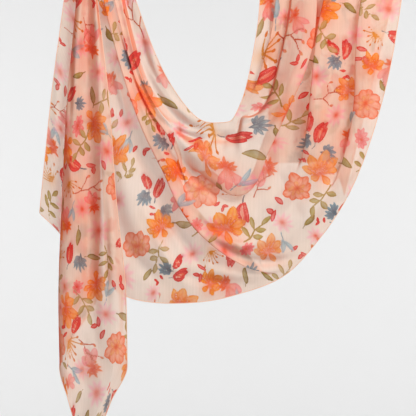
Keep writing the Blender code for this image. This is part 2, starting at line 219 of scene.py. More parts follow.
# %% [markdown]
# ## How a fold laps over its neighbour
# At a fold the cloth runs forward to a crest, doubles back under it by the overhang to a
# hidden turn, and runs on. Two knots draw that: the crest stands in front of the plain
# cloth and the turn behind it. Where a fold dies away its two knots stay, so every section
# has the same knots and the grid stays regular, but they slide apart and lie flat.

# %% Fold knots
LEAST_OPEN, LAP_FROM, LAP_SHARE, RAIL_FADE_SECTIONS = 1.2, 0.45, 0.09, 0.9


def fold_strength(fold, number):
    """How much of a fold there is: grown, times not yet gone, times clear of both rails."""
    grown = smooth_step((number - fold.grows) / (fold.full - fold.grows))
    left = smooth_step((fold.gone - number) / (fold.gone - fold.fades))
    rail = smooth_step(number / RAIL_FADE_SECTIONS)
    rail = rail * smooth_step((len(SWAG) - 1 - number) / RAIL_FADE_SECTIONS)
    return grown * left * rail


def fold_knots(at, length, numbers):
    """Each section's knots as shares, depths and how firmly each holds its depth."""
    shares, depths, firmness = [np.zeros_like(numbers)], [np.zeros_like(numbers)], [1.0]
    for fold in FOLDS:
        strength = fold_strength(fold, numbers)
        lapped = smooth_step((strength - LAP_FROM) / (1.0 - LAP_FROM))
        lapped = lapped * smooth_step(numbers - fold.laps_from)
        overhang = lapped * np.minimum(fold.overhang / length, LAP_SHARE)
        lap = 2.0 * (np.maximum(fold.spread, LEAST_OPEN / length) - overhang)
        crest = (at[fold.column], -fold.depth * strength)
        if fold.first == "crest":
            pair = [crest, (at[fold.column] + lap, fold.depth * strength)]
        else:
            pair = [(at[fold.column] - lap, fold.depth * strength), crest]
        for share, depth in pair:
            shares.append(share)
            depths.append(depth)
            firmness.append(strength)
    shares.append(np.ones_like(numbers))
    depths.append(np.zeros_like(numbers))
    firmness.append(1.0)
    firmness = np.stack([np.broadcast_to(f, numbers.shape) for f in firmness], axis=1)
    return np.stack(shares, axis=1), np.stack(depths, axis=1), firmness


print("a section has", 2 + 2 * len(FOLDS), "knots")

# %% [markdown]
# ## Slack cloth and round crests
# Between living folds the cloth is slack, and the knots of a fold that has died away should
# not be felt. Round by round, each of them settles on the line between its neighbours. At a
# living fold the opposite is wanted: the crest is rounder than its chords say.

# %% Slack and crests
SLACK_ROUNDS, LEAST_SHARE = 400, 0.002
CREST_ROUNDNESS, CREST_BULGE = 1.5, 20.0


def slacken(shares, depths, firmness):
    """Let knots of a dead fold lie straight between their neighbours, round by round."""
    own = depths.copy()
    apart = np.maximum(np.abs(np.diff(shares, axis=1)), LEAST_SHARE)
    before, after = apart[:, :-1], apart[:, 1:]
    hold = firmness[:, 1:-1]
    for _ in range(SLACK_ROUNDS):
        spanned = (depths[:, :-2] * after + depths[:, 2:] * before) / (before + after)
        depths[:, 1:-1] = hold * own[:, 1:-1] + (1.0 - hold) * spanned
    return depths


def crest_lean(knots, depths):
    """Depth's slope at a crest: its own chord times the roundness, no more than a bulge."""
    gaps = np.diff(knots, axis=1)
    chords = np.diff(depths, axis=1) / gaps
    inside = np.repeat(chords[:, 1::2], 2, axis=1)
    outside = np.repeat(gaps[:, 0::2], 2, axis=1)[:, 1:-1]
    most = CREST_BULGE / outside
    return np.clip(CREST_ROUNDNESS * inside, -most, most)


test_depths, test_hold = np.array([[0.0, 5.0, 8.0]]), np.array([[1.0, 0.0, 1.0]])
settled = slacken(np.array([[0.0, 0.5, 1.0]]), test_depths, test_hold)
print("a dead knot between 0 and 8 mm settles at", settled[0, 1])

# %% [markdown]
# ## Even spacing that bunches at bends
# A grid reads well when its columns are evenly apart along the cloth and closer where it
# turns sharply. So each row is first read finely, then measured by length plus a little
# for every degree it turns, and read again at equal steps of that measure.

# %% Resample rows
TURN_LENGTH = 5.0


def even_steps(curve, count):
    """Fractional indices at equal steps of length plus TURN_LENGTH times the turning."""
    step = np.diff(curve, axis=1)
    length = np.linalg.norm(step, axis=2)
    way = step / np.maximum(length, 1e-6)[..., None]
    cosine = np.clip((way[:, 1:] * way[:, :-1]).sum(axis=2), -1.0, 1.0)
    turn = np.pad(np.arccos(cosine), ((0, 0), (0, 1)))
    measure = np.cumsum(length + TURN_LENGTH * turn, axis=1)
    measure = np.concatenate([np.zeros((len(curve), 1)), measure], axis=1)
    index = np.arange(curve.shape[1])
    share = np.linspace(0.0, 1.0, count)
    return np.stack([np.interp(share * row[-1], row, index) for row in measure])


def read_rows(values, index):
    """Each row of values read at fractional column indices, straight between columns."""
    low = np.clip(index.astype(int), 0, values.shape[1] - 2)
    part = (index - low)[..., None]
    row = np.arange(len(values))[:, None]
    return values[row, low] * (1.0 - part) + values[row, low + 1] * part


print("a right angle counts as", round(TURN_LENGTH * np.pi / 2, 1), "mm of cloth")

# %% [markdown]
# ## Creases, listed one by one
# Between the big folds, chiffon has soft troughs and ridges, no two alike. Each one here is
# a row: a bowed line in the hanging plane, how deep it is (behind is positive), how wide,
# and where along it the deepest point lies. All layers at one place move together, so a
# crease can never push one layer through another.

# %% Crease and crumple
CRUMPLE_WAVES, CRUMPLE_DEPTH = 8, 0.35
Crease = namedtuple("Crease", "start_x start_z end_x end_z bow depth width peak")


def crease_depth(x, z, creases):
    """Depth of all creases: a bell across each bowed line, swelling towards its peak."""
    total = np.zeros_like(x)
    for c in creases:
        along = np.array([c.end_x - c.start_x, c.end_z - c.start_z], float)
        span = np.hypot(*along)
        along = along / span
        t = ((x - c.start_x) * along[0] + (z - c.start_z) * along[1]) / span
        across = (z - c.start_z) * along[0] - (x - c.start_x) * along[1]
        inside = np.clip(t, 0.0, 1.0)
        warped = inside ** (np.log(0.5) / np.log(c.peak))
        swell = np.sin(np.pi * warped) ** 2
        bell = np.exp(-((across - c.bow * 4.0 * inside * (1.0 - inside)) / c.width) ** 2)
        total += c.depth * swell * bell * ((t > 0.0) & (t < 1.0))
    return total


def crumple(x, z, seed):
    """Faint unevenness: a sum of eight sine waves in seeded directions and lengths."""
    dice = np.random.default_rng(seed)
    total = np.zeros_like(x)
    for _ in range(CRUMPLE_WAVES):
        angle, size, start = dice.uniform(0, np.pi), dice.uniform(22, 70), dice.uniform(0, 6.28)
        total += np.sin(2 * np.pi * (x * np.cos(angle) + z * np.sin(angle)) / size + start)
    return CRUMPLE_DEPTH * total / 2.0


test_crease = Crease(0, 0, 0, -100, 0, 5.0, 8, 0.5)
print("half way down a 5 mm crease:", crease_depth(np.zeros(1), np.full(1, -50.0), [test_crease])[0])

# %% [markdown]
# ## Gathers at the rail
# Where the scarf goes over the rail it is bunched in small waves, the narrow strip more than
# the wide one. A sine across the strip would look machine made, so finer waves of an uneven
# length ride on it. They fade out below the rail as the creases take over.

# %% Gathers
FINE_HEIGHT, FINE_RATE = 0.35, 2.7


def gather(share, waves, bunched):
    """Small waves where the cloth is bunched on the rail, with finer ones riding on them."""
    main = np.sin(2.0 * np.pi * waves * share)
    fine = np.sin(2.0 * np.pi * (FINE_RATE * waves * share + 0.4 * np.sin(9.0 * share)))
    return GATHER_DEPTH * bunched * (main + FINE_HEIGHT * fine)


def bunching(z):
    """How much the cloth is still bunched: 1 at the rail, 0 from GATHER_FADE below it."""
    return 1.0 - smooth_step(-z / GATHER_FADE)


print("half way down the gathers' height:", bunching(-0.5 * GATHER_FADE))

# %% [markdown]
# ## The swag's creases
# These rows were placed one by one, from the left slope round to the right fall. Most come
# in pairs, a trough beside a ridge, because cloth that is pushed back at one place comes
# forward next to it.

# %% Swag creases
SWAG_CREASES = [
    # down the left slope
    Crease(12, -175, 198, -581, -26, 8.2, 13, 0.60),
    Crease(24, -298, 131, -639, -12, -7.5, 20, 0.55),
    Crease(14, -385, 88, -656, -6, 6.8, 15, 0.50),
    Crease(66, -499, 201, -651, -14, -6.8, 17, 0.50),
    Crease(49, -546, 150, -658, -8, 5.2, 12, 0.50),
    Crease(38, -158, 192, -528, -15, -6.8, 8, 0.60),
    # from the left slope into the upper bowl
    Crease(136, -324, 248, -441, -26, -10.0, 15, 0.60),
    Crease(126, -372, 264, -490, -20, 9.5, 8.5, 0.50),
    Crease(119, -312, 256, -402, -27, 7.0, 10, 0.52),
    Crease(105, -248, 231, -368, -26, -8.2, 9, 0.55),
    Crease(84, -166, 119, -301, -5, 4.5, 6, 0.45),
    Crease(98, -175, 140, -312, -7, -4.5, 6, 0.50),
    # short ones that fan from the lowest part of the upper hem
    Crease(270, -364, 341, -280, -10, -7.5, 8, 0.45),
    Crease(273, -378, 354, -290, -12, 6.8, 8, 0.50),
    Crease(256, -360, 262, -430, 4, -4.5, 7, 0.40),
    Crease(242, -364, 231, -420, -4, 4.2, 7, 0.45),
    Crease(217, -368, 186, -416, -6, -3.9, 7, 0.45),
    # down the right fall
    Crease(382, -158, 284, -429, 16, -7.0, 14, 0.50),
    Crease(354, -172, 268, -402, 12, 5.5, 11, 0.50),
    Crease(315, -166, 284, -301, 6, -4.5, 7, 0.50),
    Crease(406, -149, 376, -500, 4, -7.0, 16, 0.52),
    Crease(373, -225, 320, -520, 6, 7.5, 16, 0.60),
    Crease(427, -175, 410, -438, 2, 3.2, 9, 0.55),
    Crease(453, -158, 434, -434, 5, 6.2, 12, 0.50),
    Crease(490, -149, 458, -429, 8, -6.5, 17, 0.50),
    Crease(516, -149, 483, -394, 7, 4.5, 12, 0.55),
    Crease(530, -175, 508, -350, 4, -3.4, 10, 0.50),
    # round the lower right and across the lowest part
    Crease(446, -424, 301, -588, 13, -7.5, 13, 0.50),
    Crease(416, -420, 287, -553, 12, 6.8, 11, 0.50),
    Crease(466, -402, 360, -588, 12, 5.2, 10, 0.55),
    Crease(483, -364, 399, -542, 8, -5.2, 9, 0.50),
    Crease(371, -438, 284, -528, 8, -6.0, 9, 0.45),
    Crease(180, -520, 344, -540, -38, -8.2, 9, 0.50),
    Crease(192, -534, 400, -568, -46, 9.5, 8.5, 0.47),
    Crease(168, -598, 368, -598, -22, -6.0, 11, 0.50),
    Crease(122, -609, 301, -637, -10, 5.2, 10, 0.50),
    Crease(168, -514, 276, -528, -22, 5.2, 10, 0.45),
    # narrow pairs on the left slope and round the upper bowl
    Crease(34, -205, 84, -400, -6, -5.0, 5, 0.50),
    Crease(50, -172, 150, -408, -10, 5.0, 5, 0.55),
    Crease(84, -215, 170, -345, -10, -4.5, 5, 0.50),
    Crease(90, -222, 176, -352, -10, 4.5, 4.5, 0.50),
    Crease(108, -330, 262, -370, -20, -5.0, 5, 0.45),
    Crease(110, -340, 262, -382, -20, 6.0, 5, 0.50),
    Crease(256, -350, 300, -326, -3, -5.0, 4.5, 0.45),
    Crease(260, -362, 304, -338, -3, 5.5, 4.5, 0.50),
    # the last pair, from the left slope to the lower hem
    Crease(100, -430, 240, -655, -16, 6.5, 9, 0.50),
    Crease(70, -440, 190, -668, -12, -5.5, 9, 0.50),
]
print(len(SWAG_CREASES), "creases on the swag")

# %% [markdown]
# ## The swag as one grid
# The whole swag is worked out at once and cut in two afterwards, so both halves share their
# last row. Beside its place, every point also gets its **print place**: where it lay before
# the scarf was hung. That is its place as seen, plus the cloth hidden in the folds up to
# it, laid out along the section.

# %% Swag surface
PRINT_SLIP, LEAST_CHORD, DENSE_STEPS = 0.6, 0.5, 20
LONG_FOLD_KNOT = 1 + 2 * [fold.column for fold in FOLDS].index("long_fold")


def swag_grid(numbers, columns):
    """Points and print places of the swag: sections bent by folds, gathers and creases."""
    fields = [name for name in Section._fields if name != "name"]
    table = np.array([[getattr(section, name) for name in fields] for section in SWAG], float)
    at = dict(zip(fields, natural_spline(np.arange(len(SWAG)), table, numbers).T))
    upper = np.stack([at["upper_x"], at["upper_z"]], axis=1)
    lower = np.stack([at["lower_x"], at["lower_z"]], axis=1)
    length = np.linalg.norm(lower - upper, axis=1)
    shares, depths, firmness = fold_knots(at, length, numbers)
    depths = slacken(shares, depths, firmness)

    sized = np.stack([shares * length[:, None], depths], axis=2)
    knots = knot_places(sized, LEAST_CHORD)
    slopes = steady_slopes(knots, sized)
    slopes[:, 1:-1, 1] += firmness[:, 1:-1] * (crest_lean(knots, depths) - slopes[:, 1:-1, 1])
    curve = read_curve(knots, sized, slopes, knot_steps(knots, DENSE_STEPS))

    hidden = walked(curve) - curve[..., 0]
    hidden = hidden - hidden[:, [LONG_FOLD_KNOT * DENSE_STEPS]]
    index = even_steps(curve, columns)
    curve = read_rows(np.concatenate([curve, hidden[..., None]], axis=2), index)
    share, depth, hidden = curve[..., 0] / length[:, None], curve[..., 1], curve[..., 2]

    plain = at["depth_upper"][:, None] * (1.0 - share) + at["depth_lower"][:, None] * share
    sides = 0.5 * (at["depth_upper"] + at["depth_lower"])
    plain = plain + (at["depth_middle"] - sides)[:, None] * 4.0 * share * (1.0 - share)
    seen = upper[:, None] + share[..., None] * (lower - upper)[:, None]
    x, z = seen[..., 0], seen[..., 1]
    bunched = bunching(z)
    right = numbers[:, None] > 0.5 * (len(SWAG) - 1)
    waves, side = np.where(right, RIGHT_GATHERS, LEFT_GATHERS), np.where(right, -1.0, 1.0)
    y = plain + depth + side * gather(share, waves, bunched)
    y = y + (1.0 - bunched) * (crease_depth(x, z, SWAG_CREASES) + crumple(x, z, seed=3))
    way = ((lower - upper) / length[:, None])[:, None]
    return np.stack([x, y, z], axis=2), seen + PRINT_SLIP * hidden[..., None] * way


SWAG_COLUMNS, LEFT_ROWS, RIGHT_ROWS = 212, 430, 205
numbers_left = np.linspace(0.0, CUT_SECTION, LEFT_ROWS)
numbers_right = np.linspace(CUT_SECTION, len(SWAG) - 1, RIGHT_ROWS)[1:]
swag, swag_place = swag_grid(np.concatenate([numbers_left, numbers_right]), SWAG_COLUMNS)
print("hanging part of the swag:", swag.shape[0], "x", swag.shape[1])

# %% [markdown]
# ## Over the rail
# At each end the cloth turns over the rail. Its first row is carried up a quarter of a
# circle to the rail's top, and slides sideways on the way, because the bunch on top sits
# elsewhere than the neck below it. The same helper serves the swag, the tail and the back.

# %% Over the rail
SADDLE_ROWS = 12


def over_the_rail(points, places, strip, waves):
    """Rows from a piece's first row up to the rail's top: an arc, sliding along the rail."""
    edge, side = points[0], np.sign(points[0, :, 1]).mean()
    share = (edge[:, 0] - edge[0, 0]) / (edge[-1, 0] - edge[0, 0])
    top_x = strip[0] + (strip[1] - strip[0]) * share
    top_radius = RAIL_TO_CLOTH + gather(share, waves, 1.0)
    up = np.sign(places[0, :, 1] - places[1, :, 1]).mean()
    rows, marks = [], []
    for angle in np.linspace(0.0, 0.5 * np.pi, SADDLE_ROWS + 1)[1:]:
        turn = smooth_step(angle / (0.5 * np.pi))
        radius = np.abs(edge[:, 1]) * (1.0 - turn) + top_radius * turn
        x = edge[:, 0] * (1.0 - turn) + top_x * turn
        rows.append(np.stack([x, side * radius * np.cos(angle), radius * np.sin(angle)], axis=1))
        mark_x = places[0, :, 0] * (1.0 - turn) + top_x * turn
        marks.append(np.stack([mark_x, places[0, :, 1] + up * RAIL_TO_CLOTH * angle], axis=1))
    points = np.concatenate([np.array(rows[::-1]), points])
    return points, np.concatenate([np.array(marks[::-1]), places])


swag, swag_place = over_the_rail(swag, swag_place, LEFT_STRIP, LEFT_GATHERS)
swag, swag_place = over_the_rail(swag[::-1], swag_place[::-1], RIGHT_STRIP, RIGHT_GATHERS)
swag, swag_place = swag[::-1], swag_place[::-1]
print("swag grid:", swag.shape[0], "x", swag.shape[1])

# %% [markdown]
# ## The tail
# The first end hangs straight down, folded in three, so it is drawn by lines down the
# cloth instead of sections across it. Each line ends at its own height on the short hem,
# which therefore zigzags, with one corner of the scarf as the tip.

# %% The tail's lines
TAIL_LEVELS = (0, -50, -140, -315, -490, -665, -779, -840)
TailLine = namedtuple("TailLine", "name x_at_levels end_x end_z depth")
TAIL = [
    TailLine("long hem", (0, 5, 14, 34, 47, 64, 66, 38), -2, -957, -24),
    TailLine("front pleat", (-4, 0, 10, 20, 29, 37, 41, 23), -12, -911, -33),
    TailLine("trough", (-8, -6, -3, -4, -5, -7, -6, -11), -25, -880, -19),
    TailLine("left pleat", (-12, -11, -15, -27, -34, -39, -38), -37, -835, -32),
    TailLine("left turn", (-16, -17, -23, -39, -48, -54, -52), -52, -779, -22),
    TailLine("right turn", (-20, -16, 4, 16, 19, 15, 12), 14, -648, -12),
    TailLine("short hem bend", (-23, -25, -28, -41, -53, -62, -65), -58, -542, -7),
    TailLine("back hem", (-26, -33, -45, -68, -86, -100, -105), -88, -513, -6),
]
TAIL_CREASES = [
    # the broad ridge, the trough and the ridge right of it, and a narrow line on its left
    Crease(-24, -150, -25, -800, 2, -4.5, 13, 0.60),
    Crease(5, -200, 8, -810, -1, 9.5, 12, 0.62),
    Crease(34, -250, 54, -788, -3, -5.5, 9, 0.60),
    Crease(-32, -110, -34, -420, 1, 5.5, 5, 0.50),
    # on the layer behind, at the left
    Crease(-46, -166, -70, -499, -4, -6.0, 9, 0.55),
    Crease(-60, -192, -77, -490, 3, 5.2, 8, 0.50),
    # where the cloth draws together above the tip
    Crease(-35, -700, 4, -840, -6, 3.0, 8, 0.50),
    Crease(-4, -682, 30, -840, -6, -2.8, 8, 0.50),
    # narrow ones between the large ones
    Crease(26, -420, 30, -740, 3, 3.5, 5, 0.55),
    Crease(-42, -385, -24, -560, 5, -4.5, 8, 0.50),
    Crease(1, -400, -2, -760, -2, 2.6, 6, 0.50),
    Crease(60, -560, 58, -770, 2, 3.4, 5, 0.50),
]
print(len(TAIL), "lines down the tail and", len(TAIL_CREASES), "creases on it")

# %% [markdown]
# ## The tail as a grid
# Every row of the grid crosses all eight lines at the same share of their drops, so the last
# row runs along the zigzag hem by itself. Cloth hidden in the pleats is counted from the
# trough, where the print lies as it is seen, and down the tail the print goes on from the
# swag's, over the rail.

# %% Tail surface
TAIL_NECK, TAIL_LEAST_RUN = 75.0, 25.0
TROUGH_KNOT = [line.name for line in TAIL].index("trough")
TAIL_ROWS, TAIL_COLUMNS, OVER_RAIL = 470, 200, np.pi * RAIL_TO_CLOTH


def tail_grid(rows, columns):
    """Points and print places of the tail: smooth lines down, and smooth across them."""
    down = np.linspace(0.0, 1.0, rows)
    lines = []
    for line in TAIL:
        levels = [p for p in zip(TAIL_LEVELS, line.x_at_levels) if p[0] > line.end_z + TAIL_LEAST_RUN]
        levels = np.array(levels + [(line.end_z, line.end_x)], float)
        z = line.end_z * down
        places = levels[None, :, 1:]
        slopes = steady_slopes(-levels[None, :, 0], places)
        x = read_curve(-levels[None, :, 0], places, slopes, -z[None])[0, :, 0]
        hung = smooth_step(-z / TAIL_NECK)
        lines.append(np.stack([x, -RAIL_TO_CLOTH * (1.0 - hung) + line.depth * hung, z], axis=1))
    lines = np.stack(lines, axis=1)
    knots = knot_places(lines)
    curve = read_curve(knots, lines, steady_slopes(knots, lines), knot_steps(knots, DENSE_STEPS))
    hidden = walked(curve) - (curve[:, :1, 0] - curve[..., 0])
    hidden = hidden - hidden[:, [TROUGH_KNOT * DENSE_STEPS]]
    curve = read_rows(np.concatenate([curve, hidden[..., None]], axis=2), even_steps(curve, columns))
    x, y, z, hidden = np.moveaxis(curve, 2, 0)
    share = (x - x[:, :1]) / (x[:, -1:] - x[:, :1])
    bunched = bunching(z)
    y = y - gather(share, LEFT_GATHERS, bunched)
    y = y + (1.0 - bunched) * (crease_depth(x, z, TAIL_CREASES) + crumple(x, z, seed=7))
    return np.stack([x, y, z], axis=2), np.stack([x - hidden, OVER_RAIL - z], axis=2)


tail, tail_place = tail_grid(TAIL_ROWS, TAIL_COLUMNS)
tail, tail_place = over_the_rail(tail, tail_place, LEFT_STRIP, LEFT_GATHERS)
print("tail grid:", tail.shape[0], "x", tail.shape[1])

# %% [markdown]
# ## The last end
# Behind the spread hold the scarf simply hangs, in even pleats that draw together as they
# fall. It shows through the cloth in front of it, which is why that side looks warmer. Its
# own ground is also given a warmer, darker peach than the other sheets: painted shade for
# the deep fold it hangs in.

# %% Back surface
BackLine = namedtuple("BackLine", "name top_x neck_x end_x end_z")
BACK = [
    BackLine("left hem", 304, 316, 312, -426),
    BackLine("left quarter", 368, 369, 350, -424),
    BackLine("middle", 433, 424, 388, -423),
    BackLine("right quarter", 497, 478, 424, -426),
    BackLine("right hem", 562, 531, 446, -482),
]
BACK_PLEATS, BACK_PLEAT_DEPTH, BACK_DEPTH, BACK_NECK = 5, 5.0, 16.0, -140.0
BACK_ROWS, BACK_COLUMNS = 215, 140
BACK_CREASES = [
    Crease(330, -60, 322, -400, 5, -2.2, 8, 0.50),
    Crease(360, -90, 345, -420, -4, 2.2, 9, 0.55),
    Crease(404, -50, 372, -410, 6, -2.4, 9, 0.45),
    Crease(450, -80, 402, -420, 6, 2.2, 9, 0.50),
    Crease(500, -60, 430, -440, 8, -2.2, 9, 0.55),
]


def back_grid(rows, columns):
    """Points and print places of the last end: pleats as a sine across straight lines."""
    across = np.linspace(0.0, 1.0, columns)
    table = np.array([line[1:] for line in BACK], float)
    top_x, neck_x, end_x, end_z = natural_spline(np.linspace(0, 1, len(BACK)), table, across).T
    z = end_z * np.linspace(0.0, 1.0, rows)[:, None]
    neck = np.minimum(z / BACK_NECK, 1.0)
    below = np.clip((z - BACK_NECK) / (end_z - BACK_NECK), 0.0, 1.0)
    x = top_x + (neck_x - top_x) * neck + (end_x - neck_x) * below
    bunched = bunching(z)
    pleats = BACK_PLEAT_DEPTH * np.sin(2.0 * np.pi * BACK_PLEATS * across)
    y = RAIL_TO_CLOTH + gather(across, RIGHT_GATHERS, bunched)
    y = y + (1.0 - bunched) * (BACK_DEPTH - RAIL_TO_CLOTH + pleats)
    y = y + (1.0 - bunched) * (crease_depth(x, z, BACK_CREASES) + crumple(x, z, seed=11))
    points = np.stack([x, y, z], axis=2)
    return points, np.stack([walked(points) + x[:, :1], OVER_RAIL - z], axis=2)


back, back_place = back_grid(BACK_ROWS, BACK_COLUMNS)
back, back_place = over_the_rail(back, back_place, RIGHT_STRIP, RIGHT_GATHERS)
print("back grid:", back.shape[0], "x", back.shape[1])

# %% [markdown]
# ## From grid to mesh
# Chiffon is about 0.2 mm thick, and as a see-through sheet it is one surface: a second
# wall would count every layer twice. The mesh keeps the print place as its UV map, in
# metres. Its normals are worked out from the grid, which is smoother than from its faces.

# %% Mesh helpers
def grid_normals(points):
    """Unit normals: the cross product of the grid's two directions."""
    normal = np.cross(np.gradient(points, axis=1), np.gradient(points, axis=0))
    return normal / np.maximum(np.linalg.norm(normal, axis=2, keepdims=True), 1e-9)


def grid_quads(rows, columns):
    """Vertex indices of a grid's faces, row by row."""
    i = np.arange(rows * columns).reshape(rows, columns)
    return np.stack([i[:-1, :-1], i[:-1, 1:], i[1:, 1:], i[1:, :-1]], axis=2).reshape(-1, 4)


def mesh_piece(name, vertices, faces, uv_name=None, uvs=None):
    """A smooth object from vertices in metres; its UV map, if any, is given vertex by vertex."""
    mesh = bpy.data.meshes.new(name)
    mesh.from_pydata(vertices.tolist(), [], faces)
    if uv_name:
        corner = np.empty(len(mesh.loops), np.int32)
        mesh.loops.foreach_get("vertex_index", corner)
        mesh.uv_layers.new(name=uv_name).data.foreach_set("uv", uvs[corner].ravel())
    mesh.shade_smooth()
    piece = bpy.data.objects.new(name, mesh)
    bpy.context.scene.collection.objects.link(piece)
    return piece


def sheet_piece(name, points, places, normals):
    """A one-surface sheet from a grid in millimetres, with its print place as a UV map."""
    vertices, uvs = points.reshape(-1, 3) * METRES, places.reshape(-1, 2) * METRES
    quads = grid_quads(*points.shape[:2]).tolist()
    piece = mesh_piece(name, vertices, quads, "print_place", uvs)
    piece.data.normals_split_custom_set_from_vertices(normals.reshape(-1, 3).tolist())
    return piece


print("faces of a grid of 2 x 3 points:", grid_quads(2, 3).tolist())

# %% [markdown]
# ## The four sheets
# The swag is cut in two at the row where its solid is cut, and both halves keep that row.
# Their normals come from the whole swag, so light runs over the cut without a step.

# %% The four sheets
left_end = SADDLE_ROWS + LEFT_ROWS
swag_normals = grid_normals(swag)
GRIDS = {
    "tail": (tail, tail_place, grid_normals(tail)),
    "swag_left": (swag[:left_end], swag_place[:left_end], swag_normals[:left_end]),
    "swag_right": (swag[left_end - 1:], swag_place[left_end - 1:], swag_normals[left_end - 1:]),
    "back_end": (back, back_place, grid_normals(back)),
}
sheets = {}
for node, (points, places, normals) in GRIDS.items():
    sheets[node] = sheet_piece("chiffon_" + node, points, places, normals)
    print(node, 2 * len(sheets[node].data.polygons), "triangles")

# %% [markdown]
# ## Inks
# The print is watercolour: hot reds and oranges, pinks, and a few cool leaves. A screen's
# red, green and blue are easiest to name, but light adds up in linear colour, so each ink is
# turned from one into the other.

# %% Inks
def ink(red, green, blue):
    """Linear colour from the 0 to 255 values seen on a screen."""
    seen = np.array([red, green, blue]) / 255.0
    return np.where(seen <= 0.04045, seen / 12.92, ((seen + 0.055) / 1.055) ** 2.4)


SCARLET, RED, ROSE = ink(198, 6, 6), ink(214, 20, 16), ink(236, 78, 70)
PINK, BLUSH, CORAL = ink(240, 120, 122), ink(242, 172, 142), ink(240, 100, 40)
FLAME, ORANGE, AMBER = ink(222, 52, 0), ink(236, 112, 2), ink(242, 156, 36)
OLIVE, MOSS, STRAW = ink(160, 136, 58), ink(128, 108, 38), ink(188, 162, 94)
OCHRE, RUST = ink(206, 128, 22), ink(188, 66, 8)
SLATE, BLUE, MIST = ink(76, 106, 118), ink(118, 156, 166), ink(156, 194, 202)
SHELL = ink(248, 128, 168)
print("eighteen inks, the hottest in linear colour:", SCARLET.round(3))

# %% [markdown]
# ## The canvas
# The flowers could be an image wrapped on the cloth, but a painted rule is sharper at any
# size and can be read. Each petal is a **reach**: how far a point lies inside its outline,
# in millimetres, negative outside. The cloth's points store that reach, and the material
# draws the outline where it passes zero, so an edge stays crisp between the points.

# %% Canvas
REACH_SPAN = 4.0
LAP_STRENGTH, EDGE_GAP = 0.72, 0.6


class Canvas:
    """What is painted at each point of one sheet."""

    def __init__(self, places):
        self.x, self.z = places.reshape(-1, 2).T
        count = len(self.x)
        self.colour, self.reach = np.tile(CORAL, (count, 1)), np.full(count, -REACH_SPAN)
        self.density, self.softness = np.full(count, 0.9), np.zeros(count)
        self.wash, self.cover = np.tile(BLUSH, (count, 1)), np.zeros(count)


def blend(first, second, share):
    """From the first ink to the second, by a share at each point."""
    share = np.clip(share, 0.0, 1.0)[:, None]
    return first * (1.0 - share) + second * share


def lay_petal(canvas, near, reach, colour, density, softness):
    """Lay a petal on top: some of what is below shows through, and its edge stays clear."""
    old = canvas.reach[near]
    inside, painted = reach > 0.0, old > 0.0
    share = np.where(inside & painted, LAP_STRENGTH, (reach > old).astype(float))
    share = np.where(painted & ~inside, 0.0, share)
    old_colour = canvas.colour[near]
    canvas.colour[near] = old_colour + (colour - old_colour) * share[:, None]
    canvas.density[near] += (density - canvas.density[near]) * share
    canvas.softness[near] += (softness - canvas.softness[near]) * share
    beside = np.minimum(old, np.maximum(-reach, EDGE_GAP))
    canvas.reach[near] = np.where(inside, reach, np.where(painted, beside, np.maximum(old, reach)))


def lay_wash(canvas, near, cover, colour):
    """Let a blurred stain soak in: covers add as the parts of cloth left bare multiply."""
    old = canvas.cover[near]
    both = 1.0 - (1.0 - old) * (1.0 - cover)
    share = np.clip(cover / np.maximum(both, 1e-3), 0.0, 1.0)[:, None]
    canvas.wash[near] += (colour - canvas.wash[near]) * share
    canvas.cover[near] = both


print("a petal laid on another hides", round(100 * LAP_STRENGTH), "% of it")

# %% [markdown]
# ## Brush shapes
# Every flower and leaf is made with three shapes. A petal's half-width is a sine along its
# length, pushed towards base or tip. A stroke is everything within half a brush of a bent
# line. A stain has no outline, only a middle. Streaks along a petal are a wave across it.

# %% Brush shapes
def petal(u, v, base, turn, length, width, widest=0.5, fullness=0.75):
    """Reach, place along and place across of a petal whose half-width is a power of a sine."""
    turn = np.radians(turn)
    from_u, from_v = u - base[0], v - base[1]
    along = (from_u * np.sin(turn) + from_v * np.cos(turn)) / length
    across = from_u * np.cos(turn) - from_v * np.sin(turn)
    t = np.clip(along, 0.0, 1.0)
    half = 0.5 * width * np.sin(np.pi * t ** (np.log(0.5) / np.log(widest))) ** fullness
    past = np.maximum(np.maximum(-along, along - 1.0), 0.0) * length
    reach = np.where(past > 0.0, -np.hypot(past, across), 0.85 * (half - np.abs(across)))
    return reach, t, across / np.maximum(half, 0.8)


def stroke(u, v, path, half):
    """Reach of a brush line: its half-thickness less the distance to the nearest piece."""
    best = np.full_like(u, -REACH_SPAN)
    for (start_u, start_v), (end_u, end_v) in zip(path[:-1], path[1:]):
        du, dv = end_u - start_u, end_v - start_v
        t = ((u - start_u) * du + (v - start_v) * dv) / (du * du + dv * dv)
        t = np.clip(t, 0.0, 1.0)
        best = np.maximum(best, half - np.hypot(u - start_u - t * du, v - start_v - t * dv))
    return best


def streaks(along, across, count=7.0):
    """Brush marks down a petal: a wave across it, bent and fading towards the tip."""
    return (0.5 + 0.5 * np.sin(count * across + 2.5 * along)) * (1.0 - 0.4 * along)


Petal = namedtuple("Petal", "reach colour density softness", defaults=(0.9, 0.0))
Wash = namedtuple("Wash", "cover colour")


def stain(u, v, middle, spread, strength, colour):
    """A wash that fades like a bell from its middle, by its spread across and up."""
    away = ((u - middle[0]) / spread[0]) ** 2 + ((v - middle[1]) / spread[1]) ** 2
    return Wash(strength * np.exp(-away), colour)


def count_layers(*painters):
    """How many layers each painter lays, tried at a single point."""
    spot = np.zeros(1)
    return {paint.__name__: len(list(paint(spot, spot))) for paint in painters}


print("reach at a petal's middle:", petal(np.array([0.0]), np.array([10.0]), (0, 0), 0, 20, 8)[0])

# %% [markdown]
# ## Tulips
# Each painter takes places round the motif's own middle, u to the right and v up, and gives
# its petals in the order the brush laid them. Sizes are of the motifs before they are set
# on the cloth. The red buds come alone or as a pair over a cut leaf, so a painter can also
# be used inside another one, moved and turned.

